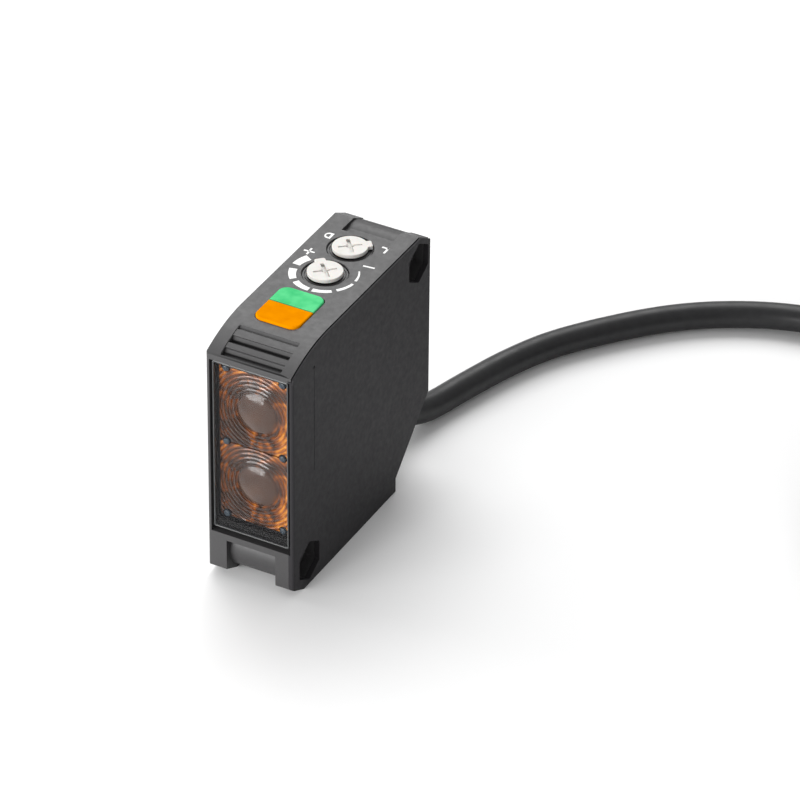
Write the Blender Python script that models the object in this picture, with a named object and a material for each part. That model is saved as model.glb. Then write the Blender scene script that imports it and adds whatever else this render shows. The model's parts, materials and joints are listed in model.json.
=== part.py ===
"""Box-type photoelectric sensor with a pre-wired cable, put away in a tied coil.

It stands on its underside: the front window faces -Y, the removable side cover is on +X.
The origin is the centre of the underside. Lengths here are in millimetres, and place() and
cable_tube() turn them into metres.
"""
import math

import bmesh
import bpy
from mathutils import Matrix, Vector

MM = 0.001

# Housing
WIDTH, DEPTH, HEIGHT = 17.4, 50.0, 50.0
HALF_W, HALF_D = WIDTH / 2, DEPTH / 2
WALL = 1.5
CORNER_Y, FOOT_Z, REAR_Z = 3.7, 1.85, 2.05  # chamfers at the front foot and at the rear of the top
TOP_ARC_Y, TOP_ARC_R = -12.0, 30.0  # the top turns down in an arc ahead of this line
SLANT_FOOT, SLANT_TOP = (12.7, 2.9), (25.0, 14.9)  # the slanted cable face, as (y, z)
EDGE_R = 0.55
COVER_T = 1.0
SEAM = 0.1
LIP = 0.5  # the housing's lip over the cover's top edge
LIP_X, RIM_X = 8.3, 8.5
FRONT_WALL_Y = -21.5

# Mounting holes for M4 screws, as (y, z), with a nut pocket at each end
MOUNT_HOLES = ((-19.3, 5.0), (20.7, 45.0))
HOLE_R = 2.25
SLEEVE_R, SLEEVE_SEEN_R = 5.2, 4.5
NUT_FLATS, NUT_DEPTH = 7.2, 3.0
CHANNEL_HALF, CHANNEL_LENGTH = 4.95, 8.1
SHELF_Z = 49.2  # the top recess has a flat floor, and a bar behind it, as (y low, y high, z)
SHELF_END = 20.8
BAR = (21.5, 23.6, 49.3)

# Front window and optics
WINDOW_LOW, WINDOW_HIGH, WINDOW_HALF = 9.4, 46.0, 8.0
WINDOW_FLOOR_Y = -23.0
OPENING_LOW, OPENING_HIGH, OPENING_HALF = 12.0, 44.9, 7.2
PANE_LOW, PANE_HIGH, PANE_HALF = 10.4, 45.8, 7.6
LENS_MID, LENS_OFFSET = 28.4, 7.7  # the two lenses lie this far above and below the middle
TILE_HALF, TILE_GAP, TILE_END = 7.0, 0.3, 15.95
TILE_FRONT, TILE_BACK = -23.2, -20.9
DOME_R, DOME_RISE = 4.0, 0.85
PANE_T = 0.55
STAKE_X, STAKE_Z, STAKE_R = 5.65, 15.5, 0.65
BLOCK_FRONT, BLOCK_REAR = -20.6, -9.0
BARREL_FRONT_R, BARREL_REAR_R = 6.0, 2.9

# Top controls: knob axes as (x, y)
KNOB_X = -0.6
SENSITIVITY, SELECTOR = (KNOB_X, 3.1), (KNOB_X, 12.2)
KNOB_R, KNOB_TOP, KNOB_BOTTOM = 3.25, HEIGHT + 0.65, HEIGHT
TAB_REACH, TAB_WIDTH = 4.0, 2.0
SENSITIVITY_TAB, SELECTOR_TAB = 134.0, 40.0  # degrees from +X
SEAT_R, SEAT_DEPTH = 4.2, 0.3
STEM_R, STEM_HOLE_R, SHAFT_BOSS_R = 1.4, 1.6, 3.4
ROTOR_R, TRIMMER_HALF = 1.8, 2.4

# Indicators: the hole in the top, as (low, high), and the line between the two caps
INDICATOR_X, INDICATOR_Y, INDICATOR_SPLIT = (-5.0, 3.9), (-15.2, -4.1), -9.2
INDICATOR_TOP = HEIGHT + 0.3

# Grooves across the top of the front, as (y low, y high, depth)
GROOVE_HALF = 6.05
GROOVES = ((-18.3, -18.0, 0.35), (-21.4, -20.5, 1.1), (-24.15, -23.2, 1.0))

# Cable
CABLE_D = 5.2
CABLE_R = CABLE_D / 2
EXIT = Vector((0.0, 21.5, 11.5))  # where the cable's axis meets the slanted face
OUT = Vector((0.0, 1.0, -1.0)).normalized()
BOOT_END = 3.8
TOUCH = 0.3  # gap between pieces that touch
COIL_CENTRE = (106.0, 65.4)
COIL_R, COIL_PITCH, COIL_LAYERS = 28.6, 5.35, 5  # two turns side by side in each layer
TIE_T = 0.8
COIL_FLOOR = TIE_T + TOUCH  # the coil rests on its ties
ENTRY_ANGLE = 90.0  # where the cable joins the coil's outer turn
STUB = 19.8  # straight run into the coil
COIL_TURNS = 9.125  # from there to where the last stretch begins, on top of the coil
TAIL_TURN, LEAD_TURN = 275.0, 42.0  # degrees of the last stretch, and of the leads beyond it
TIE_ANGLES = (340.0, 190.0)
FREE_ROUTE = (
    (0.3, 26.4, 6.95),
    (1.2, 29.6, 4.85),
    (2.5, 33.6, 3.30),
    (4.0, 39.4, 2.62),
    (6.0, 46.5, 2.60),
    (9.1, 56.0, 2.60),
    (13.0, 64.6, 2.60),
    (18.0, 72.0, 2.60),
    (25.2, 80.6, 2.60),
    (31.0, 86.1, 2.60),
    (37.4, 90.6, 2.65),
    (44.4, 93.9, 2.85),
    (52.0, 96.0, 3.15),
    (60.0, 96.9, 3.45),
)
LEAD_R = 0.62


# ---------------------------------------------------------------- shapes


def prism(outline, axis, low, high):
    """A straight solid: an outline in the other two axes, carried from low to high."""
    order = {"X": (2, 0, 1), "Y": (0, 2, 1), "Z": (0, 1, 2)}[axis]
    solid = bmesh.new()
    rings = []
    for level in (low, high):
        ring = []
        for point in outline:
            flat = (point[0], point[1], level)
            ring.append(solid.verts.new([flat[i] for i in order]))
        rings.append(ring)
    solid.faces.new(rings[0])
    solid.faces.new(rings[1])
    for i in range(len(outline)):
        j = (i + 1) % len(outline)
        solid.faces.new((rings[0][i], rings[0][j], rings[1][j], rings[1][i]))
    bmesh.ops.recalc_face_normals(solid, faces=solid.faces)
    return solid


def block(x, y, z):
    """A box between the low and the high value given for each axis."""
    return prism(((x[0], y[0]), (x[1], y[0]), (x[1], y[1]), (x[0], y[1])), "Z", *z)


def circle(centre, radius, count=32, first=0.0):
    """Points round a circle, the first one at the angle given in degrees."""
    steps = [math.radians(first + 360.0 * i / count) for i in range(count)]
    return [(centre[0] + radius * math.cos(a), centre[1] + radius * math.sin(a)) for a in steps]


def rounded(low, high, radius, count=5):
    """A rectangle with round corners, from its low to its high corner."""
    points = []
    centres = ((high[0], high[1], 0), (low[0], high[1], 90), (low[0], low[1], 180), (high[0], low[1], 270))
    for corner_x, corner_y, start in centres:
        x = corner_x - math.copysign(radius, corner_x - (low[0] + high[0]) / 2)
        y = corner_y - math.copysign(radius, corner_y - (low[1] + high[1]) / 2)
        for i in range(count):
            a = math.radians(start + 90.0 * i / (count - 1))
            points.append((x + radius * math.cos(a), y + radius * math.sin(a)))
    return points


def turned(profile, centre, axis, count=32, ring=False):
    """A solid of revolution. The profile's points are (radius, distance along the axis) from centre."""
    turn = Vector(axis).to_track_quat("Z", "Y").to_matrix()
    solid = bmesh.new()
    rows = []
    for radius, along in profile:
        row = []
        for i in range(count if radius > 0 else 1):
            a = 2 * math.pi * i / count
            spot = turn @ Vector((radius * math.cos(a), radius * math.sin(a), along))
            row.append(solid.verts.new(Vector(centre) + spot))
        rows.append(row)
    pairs = list(zip(rows, rows[1:] + rows[:1])) if ring else list(zip(rows, rows[1:]))
    for one, two in pairs:
        for i in range(count):
            j = (i + 1) % count
            corners = [one[i % len(one)], one[j % len(one)], two[j % len(two)], two[i % len(two)]]
            solid.faces.new(list(dict.fromkeys(corners)))
    for end in (rows[0], rows[-1]):
        if not ring and len(end) > 1:
            solid.faces.new(end)
    bmesh.ops.recalc_face_normals(solid, faces=solid.faces)
    return solid


def rod(centre, axis, radius, length, count=24):
    """A plain cylinder that starts at centre and runs along axis."""
    return turned(((radius, 0.0), (radius, length)), centre, axis, count)


def combine(base, cut=(), join=()):
    """The base with the join solids added, then the cut solids taken away."""
    scratch = []
    for solid in (base, *join, *cut):
        mesh = bpy.data.meshes.new("scratch")
        solid.to_mesh(mesh)
        solid.free()
        scratch.append(bpy.data.objects.new("scratch", mesh))
        bpy.context.scene.collection.objects.link(scratch[-1])
    for i, other in enumerate(scratch[1:]):
        step = scratch[0].modifiers.new("step", "BOOLEAN")
        step.operation = "UNION" if i < len(join) else "DIFFERENCE"
        step.solver = "EXACT"
        step.object = other
    shape = scratch[0].evaluated_get(bpy.context.evaluated_depsgraph_get())
    result = bmesh.new()
    result.from_mesh(shape.data)
    for piece in scratch:
        mesh = piece.data
        bpy.data.objects.remove(piece)
        bpy.data.meshes.remove(mesh)
    bmesh.ops.dissolve_limit(
        result, angle_limit=math.radians(0.2), verts=result.verts, edges=result.edges, delimit={"NORMAL"}
    )
    bmesh.ops.triangulate(result, faces=result.faces)
    return result


def look(name, colour, roughness, metallic=0.0, alpha=1.0):
    """A material with a plain principled shader."""
    material = bpy.data.materials.new(name)
    material.use_nodes = True
    shader = material.node_tree.nodes["Principled BSDF"]
    shader.inputs["Base Color"].default_value = (*colour, 1.0)
    shader.inputs["Roughness"].default_value = roughness
    shader.inputs["Metallic"].default_value = metallic
    shader.inputs["Alpha"].default_value = alpha
    material.diffuse_color = (*colour, alpha)
    return material


def place(name, solid, finish, axle=None):
    """Makes the named object in metres. A piece on an axle has its origin there."""
    home = Vector(axle.location) if axle else Vector()
    solid.transform(Matrix.Translation(-home) @ Matrix.Scale(MM, 4))
    mesh = bpy.data.meshes.new(name)
    solid.to_mesh(mesh)
    solid.free()
    mesh.materials.append(look(name, *finish))
    mesh.shade_smooth()
    mesh.set_sharp_from_angle(angle=math.radians(35))
    piece = bpy.data.objects.new(name, mesh)
    piece.parent = axle
    bpy.context.scene.collection.objects.link(piece)
    return piece


def cable_tube(name, points, radius, finish, resolution=2):
    """A round cable or lead along the points, with closed ends."""
    curve = bpy.data.curves.new(name, "CURVE")
    curve.dimensions = "3D"
    curve.bevel_depth = radius * MM
    curve.bevel_resolution = resolution
    curve.use_fill_caps = True
    spline = curve.splines.new("POLY")
    spline.points.add(len(points) - 1)
    for spot, point in zip(spline.points, points):
        spot.co = (point[0] * MM, point[1] * MM, point[2] * MM, 1.0)
    curve.materials.append(look(name, *finish))
    piece = bpy.data.objects.new(name, curve)
    bpy.context.scene.collection.objects.link(piece)
    return piece


def smooth_through(points, step):
    """Points a step apart on a smooth curve through the given ones (a centripetal Catmull-Rom)."""
    points = [Vector(p) for p in points]
    ends = [2 * points[0] - points[1], *points, 2 * points[-1] - points[-2]]
    fine = []
    for before, start, stop, after in zip(ends, ends[1:], ends[2:], ends[3:]):
        knots = [0.0]
        for one, two in ((before, start), (start, stop), (stop, after)):
            knots.append(knots[-1] + math.sqrt((two - one).length))
        for i in range(12):
            t = knots[1] + (knots[2] - knots[1]) * i / 12
            row = [before, start, stop, after]
            for size in (1, 2, 3):
                lows = range(4 - size) if size < 3 else range(1)
                if size == 1:
                    row = [row[k].lerp(row[k + 1], (t - knots[k]) / (knots[k + 1] - knots[k])) for k in lows]
                elif size == 2:
                    row = [row[k].lerp(row[k + 1], (t - knots[k]) / (knots[k + 2] - knots[k])) for k in lows]
                else:
                    row = [row[0].lerp(row[1], (t - knots[1]) / (knots[2] - knots[1]))]
            fine.append(row[0])
    fine.append(points[-1])
    return spaced(fine, step)


def spaced(line, step):
    """The line's points, taken again at equal distances of about one step."""
    runs = [(b - a).length for a, b in zip(line, line[1:])]
    count = max(1, round(sum(runs) / step))
    result, passed, i = [line[0]], 0.0, 0
    for k in range(1, count):
        target = sum(runs) * k / count
        while passed + runs[i] < target:
            passed += runs[i]
            i += 1
        result.append(line[i].lerp(line[i + 1], (target - passed) / runs[i]))
    return result + [line[-1]]


# ---------------------------------------------------------------- outlines


def top_path(drop=0.0, steps=8):
    """The top's edge in (y, z), from the rear chamfer to the front, lowered by drop."""
    path = [(HALF_D, HEIGHT - REAR_Z - drop), (HALF_D - CORNER_Y, HEIGHT - drop)]
    radius = TOP_ARC_R - drop
    last = math.asin((HALF_D + TOP_ARC_Y) / radius)
    for i in range(steps + 1):
        a = last * i / steps
        path.append((TOP_ARC_Y - radius * math.sin(a), HEIGHT - TOP_ARC_R + radius * math.cos(a)))
    return path


def side_outline(drop=0.0):
    """The housing seen from the side, in (y, z)."""
    foot = [(-HALF_D, FOOT_Z), (-HALF_D + CORNER_Y, 0.0), (SLANT_FOOT[0], 0.0), SLANT_FOOT, SLANT_TOP]
    return foot + top_path(drop)


def inset(outline, distance):
    """The outline moved inwards by the distance, with mitred corners."""
    moved = []
    for i, here in enumerate(outline):
        one = (Vector(here) - Vector(outline[i - 1])).normalized()
        two = (Vector(outline[(i + 1) % len(outline)]) - Vector(here)).normalized()
        inward = Vector((-one.y, one.x)) + Vector((-two.y, two.x))
        inward = inward / (inward.length_squared / 2)
        moved.append(tuple(Vector(here) + inward * distance))
    return moved


def plan_trim():
    """What lies outside the housing's plan, whose upright edges are rounded at the front."""
    reach = HALF_D + 5
    low, high = (-HALF_W, -HALF_D), (HALF_W, reach)
    plan = [p for p in rounded(low, high, EDGE_R) if p[1] < 0]
    plan += [(HALF_W, reach), (-HALF_W, reach)]
    outer = block((-reach, reach), (-reach, reach - 1), (-1, HEIGHT + 2))
    return combine(outer, cut=[prism(plan, "Z", -2, HEIGHT + 3)])


def nut_pocket(y, z, low, high):
    """A six-sided pocket across x, with its corners up and down."""
    across = NUT_FLATS / math.sqrt(3)
    return prism(circle((y, z), across, 6, 90.0), "X", low, high)


def lens_height(which):
    """Height of the upper (+1) or the lower (-1) lens's axis."""
    return LENS_MID + which * LENS_OFFSET


# ---------------------------------------------------------------- housing

CHARCOAL = ((0.040, 0.040, 0.043), 0.45)


def cavity():
    """The room inside the housing, with the sleeves and bosses left standing."""
    reach = (-HALF_W - 1, HALF_W + 2)
    keep = [block(reach, (-HALF_D - 1, FRONT_WALL_Y), (-1, HEIGHT + 1))]
    for spot in MOUNT_HOLES:
        keep.append(prism(circle(spot, SLEEVE_R, 40), "X", *reach))
    for axis in (SENSITIVITY, SELECTOR):
        keep.append(rod((*axis, HEIGHT - 2.6), (0, 0, 1), SHAFT_BOSS_R, 2.6))
    for y, z in SCREWS:
        keep.append(rod((-HALF_W, y, z), (1, 0, 0), 2.1, HALF_W + BOARD_X - 0.15))
    return combine(prism(inset(side_outline(), WALL), "X", -HALF_W + WALL, HALF_W + 1), cut=keep)


def channels():
    """The recesses that bare the sleeves between the nut pockets, at the foot and on the top."""
    half = (-CHANNEL_HALF, CHANNEL_HALF)
    foot = block(half, (-HALF_D - 1, MOUNT_HOLES[0][0] - 0.5), (-1, CHANNEL_LENGTH))
    front = HALF_D - CHANNEL_LENGTH
    top = block(half, (front, HALF_D + 1), (MOUNT_HOLES[1][1] + 0.5, HEIGHT + 1))
    across = (-HALF_W, HALF_W)
    sleeves = [prism(circle(spot, SLEEVE_SEEN_R, 40), "X", *across) for spot in MOUNT_HOLES]
    shelf = block(across, (front - 1, SHELF_END), (MOUNT_HOLES[1][1], SHELF_Z))
    bar = block((-CHANNEL_HALF + 0.8, HALF_W), BAR[:2], (MOUNT_HOLES[1][1], BAR[2]))
    return [combine(foot, cut=[sleeves[0]]), combine(top, cut=[sleeves[1], shelf, bar])]


def indicator_outline(grow=0.0):
    """The indicator hole in the top, whose corners are cut."""
    low = (INDICATOR_X[0] - grow, INDICATOR_Y[0] - grow)
    high = (INDICATOR_X[1] + grow, INDICATOR_Y[1] + grow)
    return rounded(low, high, 1.3, 4)


def case_body():
    lip = top_path() + top_path(LIP)[::-1]
    shell = prism(side_outline(), "X", -HALF_W, HALF_W - COVER_T - SEAM)
    far = HALF_W + 2
    cuts = [plan_trim(), cavity()]
    cuts.append(block((-WINDOW_HALF, far), (-HALF_D - 1, WINDOW_FLOOR_Y), (WINDOW_LOW, WINDOW_HIGH)))
    opening = (-OPENING_HALF, OPENING_HALF), (-HALF_D, FRONT_WALL_Y + 1), (OPENING_LOW, OPENING_HIGH)
    cuts.append(block(*opening))
    for y, z in MOUNT_HOLES:
        cuts.append(rod((-far, y, z), (1, 0, 0), HOLE_R, 2 * far))
        cuts.append(nut_pocket(y, z, -far, -HALF_W + NUT_DEPTH))
        cuts.append(nut_pocket(y, z, HALF_W - NUT_DEPTH, far))
    cuts += channels()
    for axis in (SENSITIVITY, SELECTOR):
        cuts.append(rod((*axis, HEIGHT - SEAT_DEPTH), (0, 0, 1), SEAT_R, 2, 40))
        cuts.append(rod((*axis, HEIGHT - 4), (0, 0, 1), STEM_HOLE_R, 5))
        cuts.append(rod((*axis, HEIGHT - 4), (0, 0, 1), SEAL_SEAT_R, 4 - SEAL_SEAT_TOP))
    cuts.append(prism(indicator_outline(0.15), "Z", HEIGHT - 4, HEIGHT + 1))
    for low, high, depth in GROOVES:
        floor = HEIGHT - TOP_ARC_R + math.sqrt(TOP_ARC_R**2 - ((low + high) / 2 - TOP_ARC_Y) ** 2) - depth
        cuts.append(block((-GROOVE_HALF, GROOVE_HALF), (low, high), (floor, HEIGHT)))
    cuts.append(rod(EXIT - OUT * 4, OUT, BUSH_NECK_R + 0.15, 6))
    for y, z in SCREWS:
        cuts.append(rod((-HALF_W + 0.7, y, z), (1, 0, 0), 1.1, 4))
    join = [prism(lip, "X", HALF_W - COVER_T - SEAM - 0.3, LIP_X)]
    place("case_body", combine(shell, cuts, join), CHARCOAL)


def side_cover():
    plate = prism(side_outline(LIP + 0.15), "X", HALF_W - COVER_T, HALF_W)
    rim_path = top_path(0.1) + top_path(LIP + 0.6)[::-1]
    rim = prism(rim_path, "X", RIM_X, HALF_W)
    cuts = [plan_trim()]
    pocket = (WINDOW_LOW - 0.1, WINDOW_HIGH + 0.1)
    cuts.append(block((HALF_W - COVER_T - 1, WINDOW_HALF), (-HALF_D - 1, WINDOW_FLOOR_Y), pocket))
    for y, z in MOUNT_HOLES:
        cuts.append(nut_pocket(y, z, HALF_W - NUT_DEPTH, HALF_W + 1))
    place("side_cover", combine(plate, cuts, [rim]), CHARCOAL)


# ---------------------------------------------------------------- window and optics

AMBER = ((0.55, 0.17, 0.02), 0.12, 0.0, 0.75)
DARK = ((0.02, 0.02, 0.022), 0.5)
BOARD_GREEN = ((0.02, 0.16, 0.07), 0.4)
STEEL = ((0.62, 0.62, 0.60), 0.3, 1.0)


def window():
    """The clear pane and the gasket under its edge."""
    front, back = -HALF_D + 0.2, -HALF_D + 0.2 + PANE_T
    pane = prism(rounded((-PANE_HALF, PANE_LOW), (PANE_HALF, PANE_HIGH), 0.4, 3), "Y", front, back)
    place("window_pane", pane, ((0.10, 0.10, 0.10), 0.05, 0.0, 0.35))
    outer = rounded((-PANE_HALF + 0.2, PANE_LOW + 0.2), (PANE_HALF - 0.2, PANE_HIGH - 0.2), 0.4, 3)
    inner = rounded((-OPENING_HALF, OPENING_LOW), (OPENING_HALF, OPENING_HIGH), 0.4, 3)
    gasket = prism(outer, "Y", back + 0.1, WINDOW_FLOOR_Y - 0.1)
    hole = prism(inner, "Y", back - 1, WINDOW_FLOOR_Y + 1)
    place("window_gasket", combine(gasket, [hole]), ((0.015, 0.015, 0.015), 0.8))


def stake_spots():
    """The six stakes that hold the lens tiles, as (x, z)."""
    return [(x, LENS_MID + z) for x in (-STAKE_X, STAKE_X) for z in (-STAKE_Z, 0.0, STAKE_Z)]


def lens(name, which):
    """A lens tile with its dome and a step round it, notched at the stakes."""
    near = LENS_MID + which * TILE_GAP / 2
    far = LENS_MID + which * TILE_END
    tile = block((-TILE_HALF, TILE_HALF), (TILE_FRONT, TILE_BACK), sorted((near, far)))
    centre = (0, TILE_FRONT, lens_height(which))
    steps = 6
    sphere = (DOME_R**2 + DOME_RISE**2) / (2 * DOME_RISE)
    profile = [(DOME_R + 1.2, -0.6), (DOME_R + 1.2, 0.25), (DOME_R, 0.25)]
    for i in range(1, steps + 1):
        radius = DOME_R * (1 - i / steps)
        profile.append((radius, math.sqrt(sphere**2 - radius**2) - (sphere - DOME_RISE) + 0.0001))
    dome = turned(profile, centre, (0, -1, 0), 40)
    notches = [prism(circle(s, STAKE_R + 0.2, 16), "Y", TILE_FRONT - 1, TILE_BACK + 1) for s in stake_spots()]
    place(name, combine(tile, notches, [dome]), AMBER)


def optics():
    """The black block with its two light barrels, and what sits behind and before them."""
    reach = (LENS_MID - 16.6, LENS_MID + 16.6)
    profile = [(BLOCK_FRONT, reach[0]), (-18.5, reach[0]), (-16.2, 14.6), (BLOCK_REAR, 15.5)]
    profile += [(BLOCK_REAR, 41.4), (-16.2, 42.6), (-18.5, reach[1]), (BLOCK_FRONT, reach[1])]
    barrels = []
    for which in (1, -1):
        cone = ((BARREL_FRONT_R + 0.3, -1.0), (BARREL_REAR_R - 0.3, BLOCK_REAR - BLOCK_FRONT + 1.0))
        barrels.append(turned(cone, (0, BLOCK_FRONT, lens_height(which)), (0, 1, 0)))
    stake = ((STAKE_R, -0.8), (STAKE_R, 2.7), (0.35, 3.0))
    stakes = [turned(stake, (x, BLOCK_FRONT, z), (0, -1, 0), 16) for x, z in stake_spots()]
    place("optics_block", combine(prism(profile, "X", -6.8, 6.9), barrels, stakes), DARK)
    board = block((-6.6, 7.0), (-7.6, -6.6), (14.0, 41.0))
    place("optics_board", board, BOARD_GREEN)
    bulb = [(2.5, 0.0), (2.5, 3.0)]
    bulb += [(2.5 * math.cos(a), 3.0 + 2.5 * math.sin(a)) for a in (0.5, 1.0, 1.35)] + [(0.0, 5.5)]
    led = turned([(2.9, -0.9), (2.9, -0.05), *bulb], (0, -8.75, lens_height(1)), (0, -1, 0), 24)
    place("emitter_led", led, ((0.75, 0.12, 0.10), 0.1, 0.0, 0.8))
    eye = [(0.0, 0.0), (2.2, 0.0), (2.2, 1.2), (1.5, 1.2), (1.2, 1.7), (0.7, 2.0), (0.0, 2.1)]
    place("photodiode", turned(eye, (0, -7.9, lens_height(-1)), (0, -1, 0), 24), ((0.03, 0.02, 0.03), 0.2))
    can = block((-4.6, 5.0), (-6.3, -3.2), (15.0, 27.0))
    hollow = block((-4.3, 4.7), (-7.0, -3.5), (15.3, 26.7))
    place("receiver_shield", combine(can, [hollow]), STEEL)


# ---------------------------------------------------------------- electronics

BOARD_X = -6.2
BOARD_FACE = BOARD_X + 1.0
SCREWS = ((-2.5, 6.5), (11.0, 34.5))
CONTROL_Z = 43.4
SEAL_SEAT_R, SEAL_SEAT_TOP = 2.35, 1.6


def main_board():
    outline = [(-5.6, 3.0), (10.5, 3.0), (22.2, 14.8), (22.2, 38.0), (14.5, 38.0), (14.5, 41.0), (-5.6, 41.0)]
    holes = [rod((BOARD_X - 1, y, z), (1, 0, 0), 1.3, 4, 20) for y, z in SCREWS]
    place("main_board", combine(prism(outline, "X", BOARD_X, BOARD_FACE), holes), BOARD_GREEN)
    profile = [(0.0, 0.0), (0.9, 0.0), (0.9, 2.55), (1.9, 2.55), (1.9, 3.3), (1.3, 3.7), (0.0, 3.7)]
    for i, (y, z) in enumerate(SCREWS):
        screw = turned(profile, (BOARD_FACE + 0.1 - 2.55, y, z), (1, 0, 0), 20)
        place(f"board_screw_{i + 1}", screw, STEEL)
    face = BOARD_FACE + 0.15
    can = [(0.0, 0.0), (3.15, 0.0), (3.15, 7.4), (2.85, 7.7), (0.0, 7.7)]
    place("filter_capacitor", turned(can, (face, 3.5, 33.5), (1, 0, 0), 28), ((0.05, 0.06, 0.12), 0.35))
    chips = {"control_ic": ((-1.0, 9.0), (21.0, 25.0), 1.7), "output_driver": ((0.5, 5.0), (7.5, 11.5), 1.5)}
    for name, (y, z, height) in chips.items():
        legs = []
        count = 7 if name == "control_ic" else 4
        for i in range(count):
            spot = y[0] + (y[1] - y[0]) * (i + 0.5) / count
            legs.append(block((face, face + 0.5), (spot - 0.2, spot + 0.2), (z[0] - 0.7, z[1] + 0.7)))
        body = block((face + 0.1, face + height), y, z)
        place(name, combine(body, join=legs), ((0.03, 0.03, 0.03), 0.4))
    small = {"input_diode": ((-2.5, -0.3), (12.0, 16.5)), "inductor": ((9.8, 12.4), (26.5, 29.5))}
    for name, (y, z) in small.items():
        place(name, block((face, face + 2.0), y, z), ((0.10, 0.09, 0.08), 0.45))
    header = block((face, face + 2.4), (-6.3, -3.4), (30.0, 40.0))
    place("board_link", header, ((0.02, 0.02, 0.02), 0.5))


def control_board():
    place("control_board", block((-6.8, 7.0), (-15.6, 14.4), (CONTROL_Z, CONTROL_Z + 1.0)), BOARD_GREEN)
    top = CONTROL_Z + 1.15
    for name, y in (("green_lamp", -6.5), ("orange_lamp", -12.3)):
        lamp = block((KNOB_X - 1.6, KNOB_X + 1.6), (y - 1.4, y + 1.4), (top, top + 1.1))
        place(name, lamp, ((0.85, 0.85, 0.75), 0.3))
    for name, axis in (("sensitivity_trimmer", SENSITIVITY), ("mode_switch", SELECTOR)):
        x, y = axis
        low, high = (x - TRIMMER_HALF, y - TRIMMER_HALF), (x + TRIMMER_HALF, y + TRIMMER_HALF)
        body = prism(rounded(low, high, 0.4, 3), "Z", top, top + 2.4)
        cup = rod((x, y, top + 0.7), (0, 0, 1), ROTOR_R + 0.2, 3, 28)
        place(name, combine(body, [cup]), ((0.02, 0.05, 0.16), 0.4))
    seal = [(STEM_R + 0.1, -1.0), (SEAL_SEAT_R - 0.1, -1.0), (SEAL_SEAT_R - 0.1, -0.1), (STEM_R + 0.1, -0.1)]
    for name, axis in (("sensitivity_seal", SENSITIVITY), ("selector_seal", SELECTOR)):
        ring = turned(seal, (*axis, HEIGHT - SEAL_SEAT_TOP), (0, 0, 1), 24, ring=True)
        place(name, ring, ((0.02, 0.02, 0.02), 0.8))


def indicators():
    """The two coloured caps in the top, each with a flange under the housing."""
    finishes = {"indicator_green": ((0.16, 0.72, 0.32), 0.3), "indicator_orange": ((0.95, 0.34, 0.0), 0.3)}
    spans = {"indicator_green": (INDICATOR_SPLIT + 0.1, 5), "indicator_orange": (-30, INDICATOR_SPLIT - 0.1)}
    for name, finish in finishes.items():
        low, high = spans[name]
        flange_low = (INDICATOR_X[0] - 0.7, INDICATOR_Y[0] - 0.7)
        flange_high = (INDICATOR_X[1] + 0.7, INDICATOR_Y[1] + 0.7)
        flange = prism(rounded(flange_low, flange_high, 1.5, 4), "Z", HEIGHT - 3.4, HEIGHT - 2.4)
        away = [block((-20, 20), (-40, low), (40, 60)), block((-20, 20), (high, 40), (40, 60))]
        cap = prism(indicator_outline(), "Z", HEIGHT - 3.0, INDICATOR_TOP)
        place(name, combine(cap, away, [flange]), finish)


# ---------------------------------------------------------------- knobs

IVORY = ((0.80, 0.78, 0.70), 0.4)


def axle(name, spot):
    """An empty on a knob's turning axis, level with the top."""
    empty = bpy.data.objects.new(name, None)
    empty.location = (spot[0] * MM, spot[1] * MM, HEIGHT * MM)
    bpy.context.scene.collection.objects.link(empty)
    return empty


def knob(name, spot, tab_angle):
    """A cross-slotted disc with a pointer and a stem, and the rotor that its blade turns."""
    carrier = axle(name + "_axis", spot)
    x, y = spot
    disc = turned(
        [(KNOB_R, 0.0), (KNOB_R, KNOB_TOP - KNOB_BOTTOM - 0.15), (KNOB_R - 0.15, KNOB_TOP - KNOB_BOTTOM)],
        (x, y, KNOB_BOTTOM), (0, 0, 1), 40,
    )
    turn = Matrix.Translation((x, y, 0)) @ Matrix.Rotation(math.radians(tab_angle), 4, "Z")
    tab = prism(rounded((1.0, -TAB_WIDTH / 2), (TAB_REACH, TAB_WIDTH / 2), 0.5, 4), "Z", KNOB_BOTTOM, KNOB_TOP - 0.1)
    tab.transform(turn)
    stem = rod((x, y, HEIGHT - 3.0), (0, 0, 1), STEM_R, 3.2)
    blade = block((-0.3, 0.3), (-1.2, 1.2), (HEIGHT - 4.0, HEIGHT - 2.5))
    blade.transform(turn)
    slots = []
    for half_x, half_y in ((1.9, 0.4), (0.4, 1.9)):
        slot = block((-half_x, half_x), (-half_y, half_y), (KNOB_TOP - 0.5, KNOB_TOP + 1))
        slot.transform(turn)
        slots.append(slot)
    place(name + "_knob", combine(disc, slots, [tab, stem, blade]), IVORY, carrier)
    floor = CONTROL_Z + 1.15 + 0.85
    rotor = rod((x, y, floor), (0, 0, 1), ROTOR_R, 1.5, 28)
    slot = block((-0.45, 0.45), (-3, 3), (floor + 0.6, floor + 3))
    slot.transform(turn)
    place(name + "_rotor", combine(rotor, [slot]), ((0.70, 0.68, 0.60), 0.5), carrier)


# ---------------------------------------------------------------- cable

SHEATH = ((0.035, 0.035, 0.037), 0.4)
BUSH_NECK_R = 3.25
LEAD_COLOURS = {
    "brown": (0.16, 0.06, 0.03), "blue": (0.03, 0.10, 0.45), "black": (0.02, 0.02, 0.02), "white": (0.8, 0.8, 0.78),
}


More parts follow.
